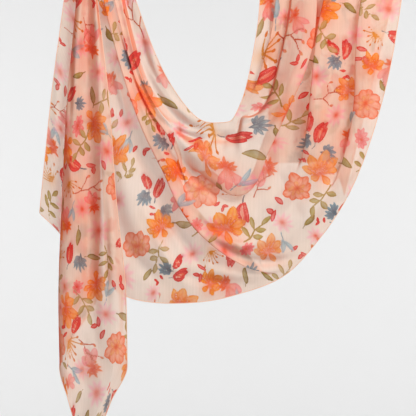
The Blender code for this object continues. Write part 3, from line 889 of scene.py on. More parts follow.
# %% Tulips and what falls with them
def tulip(u, v):
    """A closed bud of three petals, red at the rims with pink between."""
    yield Petal(stroke(u, v, [(0, -15), (1, -21), (0, -26)], 1.1), SLATE, 0.85)
    closed = ((-3, -15), -5, 37, 12), ((3, -15), 8, 31, 12), ((0, -16), 1, 40, 12)
    for base, turn, length, width in closed:
        reach, along, across = petal(u, v, base, turn, length, width, 0.5, 0.68)
        rim = np.abs(across) ** 3 * 0.8 + 0.6 * streaks(along, across, 8.0)
        yield Petal(reach, blend(ROSE, SCARLET, rim - 0.2 + 0.8 * along ** 3), 0.94)
    reach, along, across = petal(u, v, (0, -12), 2, 25, 5, 0.5)
    yield Petal(reach, blend(ORANGE, FLAME, 1.0 - along), 0.8, 0.9)
    yield stain(u, v, (0, 18), (6, 8), 0.6, SCARLET)


def feather(u, v):
    """A cut leaf: narrow lobes that fan from one stalk, blue-grey and darker at the root."""
    for turn, length in (-88, 16), (-64, 22), (-42, 28), (-22, 30), (0, 34), (22, 29), (44, 27), (68, 19):
        reach, along, across = petal(u, v, (0, -14), turn, length, 6.6, 0.64)
        yield Petal(reach, blend(SLATE, BLUE, along * 1.1 + 0.3 * across), 0.9)
    yield Petal(petal(u, v, (0, -24), 4, 22, 8, 0.6)[0], SLATE, 0.9)


def loose_petals(u, v):
    """Three small red petals blown off together."""
    for base, turn, size in ((-13, 5), 62, 20), ((0, -14), 38, 17), ((6, 2), 118, 19):
        reach, along, across = petal(u, v, base, turn, size, 8.5)
        yield Petal(reach, blend(ROSE, RED, np.abs(across) + 0.5 * streaks(along, across)), 0.9)


def moved(paint, u, v, place, turn, size):
    """The layers of one painter set at a place inside another motif, turned and resized."""
    turn = np.radians(turn)
    du, dv = (u - place[0]) / size, (v - place[1]) / size
    for layer in paint(du * np.cos(turn) - dv * np.sin(turn), du * np.sin(turn) + dv * np.cos(turn)):
        yield layer._replace(reach=layer.reach * size) if isinstance(layer, Petal) else layer


def bouquet(u, v):
    """Two tulips that lean apart over a cut leaf, with one small petal fallen beside them."""
    yield from moved(feather, u, v, (-15, -14), -128, 0.86)
    yield from moved(tulip, u, v, (-9, 14), -16, 0.84)
    yield from moved(tulip, u, v, (14, 3), 17, 1.0)
    yield from moved(loose_petals, u, v, (-2, -38), 40, 0.7)


print("layers laid by each:", count_layers(tulip, feather, loose_petals, bouquet))

# %% [markdown]
# ## Open flowers
# Open petals are torn at their tips, because a loaded brush leaves the paper unevenly. The
# blossom and the peony are fans and rings of such petals, laid from the back to the front.
# The daisy has no outline at all: it is only stains, as when paint is dropped on wet cloth.

# %% Open flowers
def ragged(reach, along, across, depth=1.8):
    """A brush-torn tip: notches across the petal that deepen over its last third."""
    return reach - depth * (0.5 + 0.5 * np.sin(9.0 * across)) * smooth_step((along - 0.55) / 0.35)


def blossom(u, v):
    """Orange petals that open like a fan, torn at their tips and streaked from the heart."""
    back = (-118, 20, 12), (150, 22, 13), (-80, 31, 14), (78, 27, 13)
    front = (-42, 36, 17), (44, 33, 16), (2, 38, 18)
    for turn, length, width in back + front:
        reach, along, across = petal(u, v, (0, -5), turn, length, width, 0.66, 0.7)
        heart = 1.25 * (1.0 - along) + 0.8 * streaks(along, across, 9.0) - 0.2
        yield Petal(ragged(reach, along, across), blend(AMBER, ORANGE, heart), 0.91, 0.2)
    for k in range(9):
        turn, length = 0.42 * k - 1.7, 15.0 + 6.0 * np.sin(1.7 * k)
        tip = (length * np.sin(turn), length * np.cos(turn) - 5.0)
        yield Petal(stroke(u, v, [(0, -5), tip], 0.9), FLAME, 0.8, 0.5)
    yield stain(u, v, (0, -4), (9, 9), 0.85, FLAME)
    yield stain(u, v, (6, -8), (25, 25), 0.45, ORANGE)


def fuchsia(u, v):
    """Long pale petals that hang from a burst of orange."""
    for turn, length, width in (152, 34, 13), (208, 32, 12), (182, 37, 12):
        reach, along, across = petal(u, v, (0, 6), turn, length, width, 0.66, 0.6)
        yield Petal(reach, blend(CORAL, PINK, 1.2 * along + 0.3 * streaks(along, across)), 0.72, 0.2)
    for k, turn in enumerate((-95, -62, -34, -8, 20, 48, 78, 104)):
        length = 15.0 + 4.0 * np.sin(2.6 * k)
        reach, along, across = petal(u, v, (0, 6), turn, length, 5.2, 0.5)
        yield Petal(reach, blend(FLAME, ORANGE, along), 0.85, 0.25)
    yield stain(u, v, (0, 7), (9, 9), 0.85, FLAME)
    yield stain(u, v, (-5, 0), (22, 22), 0.35, CORAL)


def daisy(u, v):
    """A flower painted wet in wet: pale pink rays that bleed, round an orange-red spot."""
    distance, angle = np.hypot(u, v), np.arctan2(u, v)
    rays = 0.62 + 0.38 * np.cos(9.0 * angle + 0.8 * np.sin(2.0 * angle))
    edge = 15.0 + 9.0 * rays
    yield Wash(0.5 * smooth_step((edge - distance) / 10.0) * (0.5 + 0.5 * rays), SHELL)
    yield stain(u, v, (0, 0), (8.5, 8.5), 0.6, ORANGE)
    yield stain(u, v, (0, 0), (4.6, 4.6), 0.85, FLAME)


def starflower(u, v):
    """A small flower seen from the side: narrow pink petals from an orange-red heart."""
    for turn, length in zip(range(-150, 160, 38), (13, 16, 17, 18, 17, 18, 15, 16, 14)):
        reach, along, _ = petal(u, v, (0, 0), turn, length, 6.8, 0.66)
        yield Petal(reach, blend(RED, PINK, 0.35 + along), 0.82, 0.1)
    yield stain(u, v, (0, 0), (5.5, 5.5), 0.8, FLAME)
    yield Petal(2.6 - np.hypot(u, v), FLAME, 0.85, 0.6)


def peony(u, v):
    """The largest flower, a tilted cup: pale petals with deep rims lap round an orange heart."""
    back = (-42, 33, 22), (44, 31, 21), (0, 29, 22), (-88, 36, 23), (88, 37, 24)
    front = (-128, 37, 25), (128, 36, 24), (176, 41, 29), (-154, 31, 15)
    for turn, length, width in back + front:
        reach, along, across = petal(u, v, (0, 4), turn, length, width, 0.68, 0.6)
        rim = along ** 3 + 0.8 * np.abs(across) ** 4 + 0.6 * streaks(along, across, 9.0) * along
        yield Petal(ragged(reach, along, across, 1.3), blend(BLUSH, CORAL, rim), 0.9)
    heart = (-105, 21, 10), (-58, 19, 10), (-8, 17, 11), (46, 20, 10), (100, 22, 11), (172, 17, 13)
    for turn, length, width in heart:
        reach, along, across = petal(u, v, (0, 3), turn, length, width, 0.62, 0.6)
        colour = blend(FLAME, AMBER, along + 0.4 * across)
        yield Petal(ragged(reach, along, across, 1.2), colour, 0.85, 0.1)
    yield stain(u, v, (0, 0), (30, 30), 0.45, BLUSH)
    yield stain(u, v, (0, 3), (12, 8), 0.65, ORANGE)
    yield stain(u, v, (0, 3), (5.5, 5.5), 0.7, FLAME)


print("layers laid by each:", count_layers(blossom, fuchsia, daisy, starflower, peony))

# %% [markdown]
# ## Leaves and stems
# What stands between the flowers is thinner and calmer: olive leaves, pale-blue leaves,
# rust twigs and ochre stamens. A leaf is one petal shape, darker on one side of its middle,
# and a stem is one stroke.

# %% Leaves and stems
def leaf(u, v):
    """One olive leaf on a short stalk, darker on one side of its midrib."""
    reach, _, across = petal(u, v, (0, -15), 0, 33, 12.5, 0.45)
    yield Petal(stroke(u, v, [(0, -14), (1, -21)], 1.1), MOSS, 0.9)
    yield Petal(reach, blend(OLIVE, MOSS, 0.9 * (across > 0.0) * (0.3 + 0.7 * np.abs(across))), 0.92)


def sprig(u, v):
    """A bending stem with five olive leaves."""
    yield Petal(stroke(u, v, [(-12, -22), (-4, -10), (0, 4), (8, 18)], 1.2), OLIVE, 0.85)
    leaves = ((-4, -10), -70, 20), ((-2, -6), 72, 19), ((0, 4), -48, 21), ((1, 5), 66, 18), ((7, 16), 8, 20)
    for base, turn, length in leaves:
        reach, _, across = petal(u, v, base, turn, length, 8.8, 0.55)
        yield Petal(reach, blend(STRAW, OLIVE, 0.55 + 0.6 * across), 0.9)


def willow(u, v):
    """Two long pale-blue leaves that share a stalk."""
    yield Petal(stroke(u, v, [(0, -22), (-1, -8), (2, 2)], 1.1), BLUE, 0.8)
    for base, turn, length in ((0, -6), -24, 30), ((0, -8), 20, 33):
        reach, along, across = petal(u, v, base, turn, length, 9.0, 0.5)
        yield Petal(reach, blend(MIST, BLUE, 0.5 * streaks(along, across) + 0.4 * (across > 0)), 0.8, 0.15)


def twig(u, v):
    """A forked rust-coloured twig with small buds at its tips."""
    paths = (
        [(-4, -28), (0, -12), (-2, 4), (6, 20), (14, 27)], [(0, -12), (12, -4), (20, -2)],
        [(-2, 4), (-14, 12), (-18, 20)], [(3, 14), (-2, 26)],
    )
    for path in paths:
        yield Petal(stroke(u, v, path, 1.25), RUST, 0.85)
        reach, along, _ = petal(u, v, path[-1], 20, 9, 5.5)
        yield Petal(reach, blend(ROSE, OCHRE, along), 0.85, 0.2)


def fan(u, v):
    """Ochre stamens that spread from one point, each with a thick tip."""
    for k, turn in enumerate(np.radians((-66, -44, -24, -6, 12, 32, 52, 74))):
        length = 24.0 + 7.0 * np.sin(2.3 * k)
        tip = (length * np.sin(turn), length * np.cos(turn) - 12.0)
        yield Petal(stroke(u, v, [(0, -12), tip], 1.15), OCHRE, 0.85, 0.1)
        yield Petal(petal(u, v, tip, np.degrees(turn), 8, 4.6)[0], 0.7 * OCHRE + 0.3 * FLAME, 0.9)
    yield stain(u, v, (0, -8), (13, 13), 0.55, AMBER)


print("layers laid by each:", count_layers(leaf, sprig, willow, twig, fan))

# %% [markdown]
# ## The repeat
# Printed cloth has a repeat. This one is an oblong of 300 x 280 mm with its motifs listed
# one by one, and each next column is moved up by half a repeat, which hides the rows. A row
# gives the motif's painter, its place in the repeat, its turn in degrees and its size.

# %% The repeat
TILE_X, TILE_Z = 300.0, 280.0
Motif = namedtuple("Motif", "paint x z turn size")
MOTIFS = [
    Motif(daisy, 22, 30, 10, 1.15), Motif(daisy, 128, 78, 40, 1.2), Motif(daisy, 284, 128, 0, 1.05),
    Motif(daisy, 38, 172, 75, 1.2), Motif(daisy, 170, 214, 20, 1.05), Motif(daisy, 236, 262, 55, 1.2),
    Motif(daisy, 215, 20, 30, 1.0), Motif(daisy, 95, 145, 30, 1.0),
    Motif(peony, 196, 88, 10, 0.92), Motif(peony, 62, 232, 160, 0.86),
    Motif(bouquet, 86, 46, 0, 1.0), Motif(bouquet, 136, 184, 25, 0.95), Motif(feather, 118, 8, 60, 0.8),
    Motif(tulip, 252, 212, 150, 1.1), Motif(feather, 282, 226, 40, 0.85), Motif(tulip, 268, 52, 200, 1.0),
    Motif(blossom, 240, 22, 20, 1.1), Motif(blossom, 14, 122, 50, 1.15), Motif(blossom, 152, 122, 10, 1.0),
    Motif(blossom, 106, 262, 33, 1.1), Motif(blossom, 206, 160, 45, 1.0),
    Motif(fuchsia, 152, 36, 25, 1.05), Motif(fuchsia, 240, 152, -20, 1.05), Motif(fuchsia, 8, 262, 15, 1.05),
    Motif(leaf, 84, 176, 75, 1.05), Motif(leaf, 276, 176, -30, 1.1),
    Motif(leaf, 152, 266, 110, 1.05), Motif(leaf, 8, 74, 140, 0.95), Motif(leaf, 226, 122, 15, 0.9),
    Motif(starflower, 186, 26, 0, 1.0), Motif(starflower, 274, 264, 60, 1.0),
    Motif(sprig, 288, 14, -15, 1.1), Motif(sprig, 38, 78, 30, 1.15), Motif(sprig, 104, 216, 150, 1.05),
    Motif(sprig, 192, 262, 70, 1.15), Motif(fan, 254, 92, 20, 1.05), Motif(fan, 212, 208, 190, 1.0),
    Motif(loose_petals, 62, 116, 0, 1.05), Motif(loose_petals, 184, 180, 60, 1.0),
    Motif(loose_petals, 20, 200, 120, 1.0), Motif(loose_petals, 228, 60, 30, 0.9),
    Motif(twig, 112, 112, 15, 1.0), Motif(twig, 296, 96, 60, 0.9),
    Motif(willow, 262, 132, 25, 1.0), Motif(willow, 40, 136, 200, 0.9), Motif(willow, 160, 62, 70, 0.95),
]
print(len(MOTIFS), "motifs in the repeat")

# %% [markdown]
# ## Painting the cloth
# Each point of the cloth asks for the nearest copy of every motif, and the painters answer
# for all points at once. Copies differ a little in turn, size, strength and bend, by sines
# of their column and row, as in a long digital repeat. The result is stored on the mesh.

# %% Paint the cloth
MOTIF_ROOM, PRINT_SCALE, TURN_SPREAD, SIZE_SPREAD = 52.0, 0.93, 50.0, 0.16
STRENGTH, STRENGTH_SPREAD = 1.02, 0.10
HAND, HAND_ACROSS, HAND_ALONG = 2.2, 0.11, 0.13
BY_COLUMN, BY_ROW, BY_NUMBER = 12.99, 78.23, 3.7
SIZE_RATE, STRENGTH_RATE, BEND_RATE = 40.0, 57.0, 9.0


def paint_print(places):
    """Paint every motif's nearest copy, in table order, each varied by a sine of its number."""
    canvas = Canvas(places)
    for number, motif in enumerate(MOTIFS):
        column = np.floor((canvas.x - motif.x) / TILE_X + 0.5)
        drop = 0.5 * TILE_Z * np.mod(column, 2.0)
        row = np.floor((canvas.z - motif.z - drop) / TILE_Z + 0.5)
        dx = canvas.x - motif.x - column * TILE_X
        dz = canvas.z - motif.z - drop - row * TILE_Z
        near = np.nonzero(np.hypot(dx, dz) < MOTIF_ROOM)[0]
        chance = np.sin(BY_COLUMN * column[near] + BY_ROW * row[near] + BY_NUMBER * number)
        turn = np.radians(motif.turn + TURN_SPREAD * chance)
        size = PRINT_SCALE * motif.size * (1.0 + SIZE_SPREAD * np.sin(SIZE_RATE * chance))
        strength = STRENGTH + STRENGTH_SPREAD * np.sin(STRENGTH_RATE * chance + number)
        u = (dx[near] * np.cos(turn) - dz[near] * np.sin(turn)) / size
        v = (dx[near] * np.sin(turn) + dz[near] * np.cos(turn)) / size
        bend = BEND_RATE * chance + number
        bent_u = u + HAND * np.sin(HAND_ACROSS * v + bend)
        bent_v = v + HAND * np.sin(HAND_ALONG * u + 2.0 * bend)
        for layer in motif.paint(bent_u, bent_v):
            if isinstance(layer, Wash):
                lay_wash(canvas, near, layer.cover * strength, layer.colour)
            else:
                density = layer.density * strength
                lay_petal(canvas, near, layer.reach * size, layer.colour, density, layer.softness)
    return canvas


def store_print(piece, canvas):
    """Keep the print on the mesh: ink and reach, wash and cover, density and softness."""
    reach = np.clip(0.5 + 0.5 * canvas.reach / REACH_SPAN, 0.0, 1.0)
    mesh = piece.data
    for name, colour, fourth in ("petal", canvas.colour, reach), ("wash", canvas.wash, canvas.cover):
        layer = mesh.color_attributes.new(name=name, type="FLOAT_COLOR", domain="POINT")
        layer.data.foreach_set("color", np.column_stack([colour, fourth]).ravel())
    touch = mesh.attributes.new(name="touch", type="FLOAT_VECTOR", domain="POINT")
    three = np.column_stack([canvas.density, canvas.softness, np.zeros(len(reach))])
    touch.data.foreach_set("vector", three.ravel())


for node, (points, places, normals) in GRIDS.items():
    canvas = paint_print(places)
    store_print(sheets[node], canvas)
    print(node, "is printed on", round(100.0 * np.mean(canvas.reach > 0.0)), "% of its area")

# %% [markdown]
# ## Helpers for node trees
# A material is a tree of small nodes. Written out, each node takes four or five lines, so
# these helpers make one in a line: add it, set its fields, and link what goes into it.

# %% Node helpers
class Wiring:
    """A few short calls for building a node tree."""

    def __init__(self, tree):
        self.tree = tree

    def node(self, kind, inputs=(), **settings):
        """Add a node, set its fields, and link or set its inputs by name."""
        node = self.tree.nodes.new(kind)
        for name, value in settings.items():
            setattr(node, name, value)
        return self.fill(node, inputs)

    def fill(self, node, inputs):
        """Link or set the inputs of a node that is there already."""
        for key, value in dict(inputs).items():
            if isinstance(value, bpy.types.NodeSocket):
                self.tree.links.new(value, node.inputs[key])
            else:
                node.inputs[key].default_value = value
        return node

    def math(self, operation, first, second=0.0, clamp=False):
        """One arithmetic step on two values."""
        inputs = {0: first, 1: second}
        return self.node("ShaderNodeMath", inputs, operation=operation, use_clamp=clamp).outputs[0]

    def mix(self, share, first, second):
        """From the first colour to the second."""
        inputs = {0: share, 6: first, 7: second}
        return self.node("ShaderNodeMix", inputs, data_type="RGBA").outputs[2]

    def smooth(self, value, low, high, to_low=0.0, to_high=1.0):
        """A smooth step from one value to another."""
        ends = {"From Min": low, "From Max": high, "To Min": to_low, "To Max": to_high}
        inputs = {"Value": value, **ends}
        return self.node("ShaderNodeMapRange", inputs, interpolation_type="SMOOTHSTEP").outputs[0]

    def attribute(self, name):
        """A stored attribute of the mesh."""
        return self.node("ShaderNodeAttribute", attribute_name=name)

    def noise(self, place, scale, detail=2.0):
        """Cloudy noise at so many clouds per metre."""
        inputs = {"Vector": place, "Scale": scale, "Detail": detail}
        return self.node("ShaderNodeTexNoise", inputs).outputs["Fac"]


def new_group(name, outputs, inputs=()):
    """An empty node group with the given (name, socket type) outputs and inputs."""
    group = bpy.data.node_groups.new(name, "ShaderNodeTree")
    for socket, kind in inputs:
        group.interface.new_socket(name=socket, in_out="INPUT", socket_type=kind)
    for socket, kind in outputs:
        group.interface.new_socket(name=socket, in_out="OUTPUT", socket_type=kind)
    return group, Wiring(group)


def new_material(name):
    """A material, with its wiring and its surface shader."""
    material = bpy.data.materials.new(name)
    material.use_nodes = True
    return material, Wiring(material.node_tree), material.node_tree.nodes["Principled BSDF"]


print("helpers:", [name for name in vars(Wiring) if not name.startswith("_")])

# %% [markdown]
# ## Watercolour, as a node group
# Wet paint leaves three marks: an outline that wanders, a darker rim where the pigment
# gathered, and cloudy patches where it pooled. All four cloth materials need them, so they
# are one node group.

# %% Watercolour print group
CREAM = (0.80, 0.655, 0.565, 1.0)
PEACH = (0.87, 0.55, 0.375, 1.0)
DRIED_RIM = (0.45, 0.08, 0.04, 1.0)
WANDER, SHARP_EDGE, SOFT_EDGE, RIM_SHARE, WASH_SHARE = 1.7, 0.28, 2.2, 0.22, 0.6
EDGE_NOISE, CLOUD_NOISE, GRAIN_NOISE, GROUND_NOISE = 420.0, 95.0, 1300.0, 13.0


def watercolour_group():
    """Ground, then washes, then petals with a wandering outline, a darker rim and clouds."""
    outputs = [("Colour", "NodeSocketColor"), ("Cover", "NodeSocketFloat")]
    group, w = new_group("Watercolour print", outputs, [("Warmth", "NodeSocketFloat")])
    place = w.node("ShaderNodeUVMap", uv_map="print_place").outputs[0]
    petals, wash, touch = w.attribute("petal"), w.attribute("wash"), w.attribute("touch")
    parts = w.node("ShaderNodeSeparateXYZ", {0: touch.outputs["Vector"]})
    density, softness = parts.outputs[0], parts.outputs[1]

    wander = w.math("SUBTRACT", w.noise(place, EDGE_NOISE, 3.0), 0.5)
    clouds = w.noise(place, CLOUD_NOISE, 3.0)
    grain = w.noise(place, GRAIN_NOISE, 1.0)
    reach = w.math("MULTIPLY", w.math("SUBTRACT", petals.outputs["Alpha"], 0.5), 2.0 * REACH_SPAN)
    reach = w.math("ADD", reach, w.math("MULTIPLY", wander, WANDER))
    blur = w.math("ADD", w.math("MULTIPLY", softness, SOFT_EDGE), SHARP_EDGE)
    inside = w.smooth(reach, w.math("MULTIPLY", blur, -1.0), blur)

    rim = w.math("SUBTRACT", w.smooth(reach, 0.1, 0.7), w.smooth(reach, 0.9, 2.4))
    rim = w.math("MULTIPLY", rim, w.math("SUBTRACT", 1.0, softness, clamp=True))
    rim = w.math("MULTIPLY", rim, RIM_SHARE)
    pooled = w.math("ADD", w.smooth(clouds, 0.3, 0.7, 0.80, 1.0), rim)
    pooled = w.math("SUBTRACT", pooled, w.smooth(grain, 0.62, 0.80, 0.0, 0.12))
    paint = w.math("MULTIPLY", w.math("MULTIPLY", inside, density), pooled, clamp=True)

    warmth = w.node("NodeGroupInput").outputs["Warmth"]
    uneven = w.smooth(w.noise(place, GROUND_NOISE, 2.0), 0.3, 0.7, -0.15, 0.15)
    ground = w.mix(w.math("ADD", warmth, uneven, clamp=True), CREAM, PEACH)
    patchy = w.smooth(clouds, 0.25, 0.75, 0.8, 1.05)
    soaked = w.math("MULTIPLY", wash.outputs["Alpha"], patchy, clamp=True)
    stained = w.mix(soaked, ground, wash.outputs["Color"])
    soaked = w.math("MULTIPLY", soaked, WASH_SHARE)
    petal_ink = w.mix(soaked, w.mix(rim, petals.outputs["Color"], DRIED_RIM), wash.outputs["Color"])
    colour = w.mix(paint, stained, petal_ink)
    cover = w.math("MAXIMUM", paint, soaked)
    w.node("NodeGroupOutput", {"Colour": colour, "Cover": cover})
    return group


watercolour = watercolour_group()
print("the print's group has", len(watercolour.nodes), "nodes")

# %% [markdown]
# ## Crepe weave, as a node group
# Chiffon is woven from hard-twisted threads that curl, so its face is finely pebbled, and
# uneven threads leave faint lines down its length. The lines are noise stretched along the
# cloth. The group gives a height for the bump and a veil, by which the cover varies.

# %% Crepe weave group
LINES_ACROSS_AND_ALONG = (330.0, 14.0, 1.0)
CREPE_NOISE = 2400.0


def crepe_group():
    """Chiffon's two cloth marks: faint lines down its length, and a fine crepe grain."""
    group, w = new_group("Crepe weave", [("Height", "NodeSocketFloat"), ("Veil", "NodeSocketFloat")])
    place = w.node("ShaderNodeUVMap", uv_map="print_place").outputs[0]
    stretch = {0: place, 1: LINES_ACROSS_AND_ALONG}
    stretched = w.node("ShaderNodeVectorMath", stretch, operation="MULTIPLY").outputs[0]
    lines = w.noise(stretched, 1.0, 2.0)
    grain = w.noise(place, CREPE_NOISE, 1.0)
    height = w.math("ADD", w.math("MULTIPLY", lines, 0.5), w.math("MULTIPLY", grain, 0.5))
    line_veil = w.smooth(lines, 0.25, 0.75, -0.02, 0.02)
    grain_veil = w.smooth(grain, 0.3, 0.7, -0.015, 0.015)
    w.node("NodeGroupOutput", {"Height": height, "Veil": w.math("ADD", line_veil, grain_veil)})
    return group


crepe = crepe_group()
print("groups:", [group.name for group in bpy.data.node_groups])

# %% [markdown]
# ## The chiffon material
# Part of the light goes straight through between the threads, part is scattered through,
# and part comes back. That is a mix of three shaders. Ink fills the gaps between threads,
# so a printed patch is less see-through, and so is cloth seen edge on. Where the cloth is
# seen edge on, its colour is also multiplied towards a warm dark. That is painted shade, and
# it draws the warm dark lines along each fold. Crepe threads also scatter much of a lamp's
# light forwards, so a layer throws a paler shadow than its cover says: a Light Path node thins
# it for rays on their way to a lamp.

# %% Chiffon materials
BARE_COVER, INK_COVER, SLANT_COVER, THROUGH = 0.66, 0.16, 0.35, 0.30
LET_BY, INK_TINT = 0.6, 0.85
BETWEEN_THREADS = (0.93, 0.86, 0.80, 1.0)
# The warm dark that cloth seen edge on is multiplied towards: painted shade along the folds.
EDGE_ON_SHADE = (0.90, 0.38, 0.22, 1.0)
# The last end's warmer, darker ground is partly painted shade, for the fold it hangs in behind the right
# fall.
WARMTH_AND_SHADE = {"tail": 0.40, "swag_left": 0.42, "swag_right": 0.45, "back_end": 0.75}


def chiffon(name, warmth):
    """Transparent, translucent and matt, mixed by how much thread and ink is in the way."""
    material, w, shader = new_material(name)
    paint = w.node("ShaderNodeGroup", {"Warmth": warmth}, node_tree=watercolour)
    weave = w.node("ShaderNodeGroup", node_tree=crepe)
    pebbles = {"Height": weave.outputs["Height"], "Strength": 0.25, "Distance": 0.0004}
    bump = w.node("ShaderNodeBump", pebbles)

    # Painted shade: where the cloth is seen edge on, its colour is multiplied towards a warm dark.
    facing = w.node("ShaderNodeLayerWeight", {"Blend": 0.5}).outputs["Facing"]
    slant = w.smooth(facing, 0.04, 0.78)
    warm = {0: 1.0, 6: paint.outputs["Colour"], 7: EDGE_ON_SHADE}
    deep = w.node("ShaderNodeMix", warm, data_type="RGBA", blend_type="MULTIPLY")
    colour = w.mix(slant, paint.outputs["Colour"], deep.outputs[2])
    matt = {"Roughness": 0.72, "Specular IOR Level": 0.25, "Sheen Weight": 0.25, "Sheen Roughness": 0.5}
    w.fill(shader, {"Base Color": colour, "Normal": bump.outputs[0], **matt})
    soft = w.node("ShaderNodeBsdfTranslucent", {"Color": colour, "Normal": bump.outputs[0]})
    cloth = w.node("ShaderNodeMixShader", {0: THROUGH, 1: shader.outputs[0], 2: soft.outputs[0]})
    cover = w.math("ADD", w.math("MULTIPLY", paint.outputs["Cover"], INK_COVER), BARE_COVER)
    cover = w.math("ADD", cover, weave.outputs["Veil"])
    cover = w.math("ADD", cover, w.math("MULTIPLY", slant, SLANT_COVER), clamp=True)
    to_lamp = w.node("ShaderNodeLightPath").outputs["Is Shadow Ray"]
    cover = w.math("MULTIPLY", cover, w.math("SUBTRACT", 1.0, w.math("MULTIPLY", to_lamp, LET_BY)))
    tint = w.math("MULTIPLY", paint.outputs["Cover"], INK_TINT)
    tinted = w.mix(tint, BETWEEN_THREADS, paint.outputs["Colour"])
    clear = w.node("ShaderNodeBsdfTransparent", {"Color": tinted})
    veil = w.node("ShaderNodeMixShader", {0: cover, 1: clear.outputs[0], 2: cloth.outputs[0]})
    w.fill(material.node_tree.nodes["Material Output"], {"Surface": veil.outputs[0]})
    return material


for node, piece in sheets.items():
    piece.data.materials.append(chiffon("chiffon_" + node, WARMTH_AND_SHADE[node]))
print("materials:", [material.name for material in bpy.data.materials])

# %% [markdown]
# ## The hem
# Every edge is a narrow rolled hem, whipped with a warm orange thread. It is the one thing
# that has a thickness you can see: a cord of a little over 1 mm, made of six-sided rings
# along the grid's own edge rows, so it bends with every fold.

# %% Hem cords
HEM_RADIUS, HEM_SIDES = 0.6, 6


def hem_cord(path, normals):
    """Rings round a path, from the cloth's normal and the direction across it."""
    way = np.gradient(path, axis=0)
    way = way / np.linalg.norm(way, axis=1, keepdims=True)
    beside = np.cross(way, normals)
    beside = beside / np.linalg.norm(beside, axis=1, keepdims=True)
    out = np.cross(beside, way)
    angle = np.linspace(0.0, 2.0 * np.pi, HEM_SIDES, endpoint=False)[None, :, None]
    return path[:, None] + HEM_RADIUS * (np.cos(angle) * out[:, None] + np.sin(angle) * beside[:, None])


def hem_piece(name, edges):
    """One mesh of closed cords, with its length in metres as the UV map's first value."""
    vertices, faces, uvs = [], [], []
    start = 0
    for path, normals in edges:
        rings = hem_cord(path, normals)
        count = len(rings)
        i = start + np.arange(count * HEM_SIDES).reshape(count, HEM_SIDES)
        j = np.roll(i, -1, axis=1)
        quads = np.stack([i[:-1], j[:-1], j[1:], i[1:]], axis=2).reshape(-1, 4)
        faces += quads.tolist() + [i[0][::-1].tolist(), i[-1].tolist()]
        vertices.append(rings.reshape(-1, 3))
        round_it = np.tile(np.arange(HEM_SIDES) / HEM_SIDES, count)
        uvs.append(np.column_stack([np.repeat(walked(path), HEM_SIDES) * METRES, round_it]))
        start += count * HEM_SIDES
    vertices = np.concatenate(vertices) * METRES
    return mesh_piece(name, vertices, faces, "along_hem", np.concatenate(uvs))


print("the hem is", 2 * HEM_RADIUS, "mm thick")

# %% [markdown]
# ## The hem's thread
# The whipping is thread wound round the rolled edge, in slanting turns 1.5 mm apart. A sine
# of the way along the cord plus the way round it draws them, and the same wave lifts them.

# %% Thread and hems
HEM_STEP, WHIP_PITCH = 2, 0.0015
THREAD_DARK, THREAD_LIGHT = (0.72, 0.36, 0.22, 1.0), (0.88, 0.56, 0.40, 1.0)


def whip_material():
    """Thread wound round the edge: a sine along and round the cord gives slanting turns."""
    material, w, shader = new_material("whipped_hem")
    place = w.node("ShaderNodeUVMap", uv_map="along_hem").outputs[0]
    parts = w.node("ShaderNodeSeparateXYZ", {0: place})
    turns = w.math("ADD", w.math("DIVIDE", parts.outputs[0], WHIP_PITCH), parts.outputs[1])
    wave = w.math("SINE", w.math("MULTIPLY", turns, 2.0 * np.pi))
    wound = w.math("ADD", w.math("MULTIPLY", wave, 0.5), 0.5)
    colour = w.mix(wound, THREAD_DARK, THREAD_LIGHT)
    bump = w.node("ShaderNodeBump", {"Height": wound, "Strength": 0.4, "Distance": 0.0003})
    w.fill(shader, {"Base Color": colour, "Normal": bump.outputs[0], "Roughness": 0.7})
    return material


thread = whip_material()
HEMS = {
    "tail": [np.s_[::HEM_STEP, 0], np.s_[::HEM_STEP, -1], np.s_[-1, ::HEM_STEP]],
    "swag_left": [np.s_[::HEM_STEP, 0], np.s_[::HEM_STEP, -1]],
    "swag_right": [np.s_[::HEM_STEP, 0], np.s_[::HEM_STEP, -1]],
    "back_end": [np.s_[::HEM_STEP, 0], np.s_[::HEM_STEP, -1], np.s_[-1, ::HEM_STEP]],
}
hems = {}
for node, cuts in HEMS.items():
    points, places, normals = GRIDS[node]
    hems[node] = hem_piece("hem_" + node, [(points[cut], normals[cut]) for cut in cuts])
    hems[node].data.materials.append(thread)
    length = sum(walked(points[cut])[-1] for cut in cuts)
    print("hem", node, len(hems[node].data.polygons), "faces,", round(length * METRES, 2), "m")

# %% [markdown]
# ## Hide the solids, attach the sheets
# Each sheet stands for the plain cloth solid of the same stretch, which is hidden, and rides
# on the one body that this part has. A hem goes where its sheet goes.

for node, piece in sheets.items():
    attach(piece, "root")
    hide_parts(node)
    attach(hems[node], "root")
print(len(sheets), "sheets and", len(hems), "hems ride on the root")

# %% [markdown]
# ## The room
# Thin cloth needs a pale wall well behind it, because the wall is what is seen through it.
# Floor and wall are one bent sheet of matt paper, so no corner shows.

# %% Floor and wall
PAPER = (0.83, 0.83, 0.83, 1.0)
SWEEP_STEPS = 24


def stage_sweep(width, front, back, floor_z, top_z, radius):
    """Floor and wall in one: flat, then a quarter circle, then straight up."""
    angle = np.linspace(0.0, 0.5 * np.pi, SWEEP_STEPS)
    y = np.concatenate([[front], back - radius + radius * np.sin(angle), [back]])
    z = np.concatenate([[floor_z], floor_z + radius - radius * np.cos(angle), [top_z]])
    rows = len(y)
    points = np.empty((rows, 2, 3))
    points[:, 0] = np.stack([np.full(rows, -width), y, z], axis=1)
    points[:, 1] = np.stack([np.full(rows, width), y, z], axis=1)
    return mesh_piece("stage_sweep", points.reshape(-1, 3), grid_quads(rows, 2).tolist())


def paper_material():
    """Matt off-white paper, with no shine of its own."""
    material, w, shader = new_material("pale_paper")
    w.fill(shader, {"Base Color": PAPER, "Roughness": 0.95, "Specular IOR Level": 0.0})
    return material


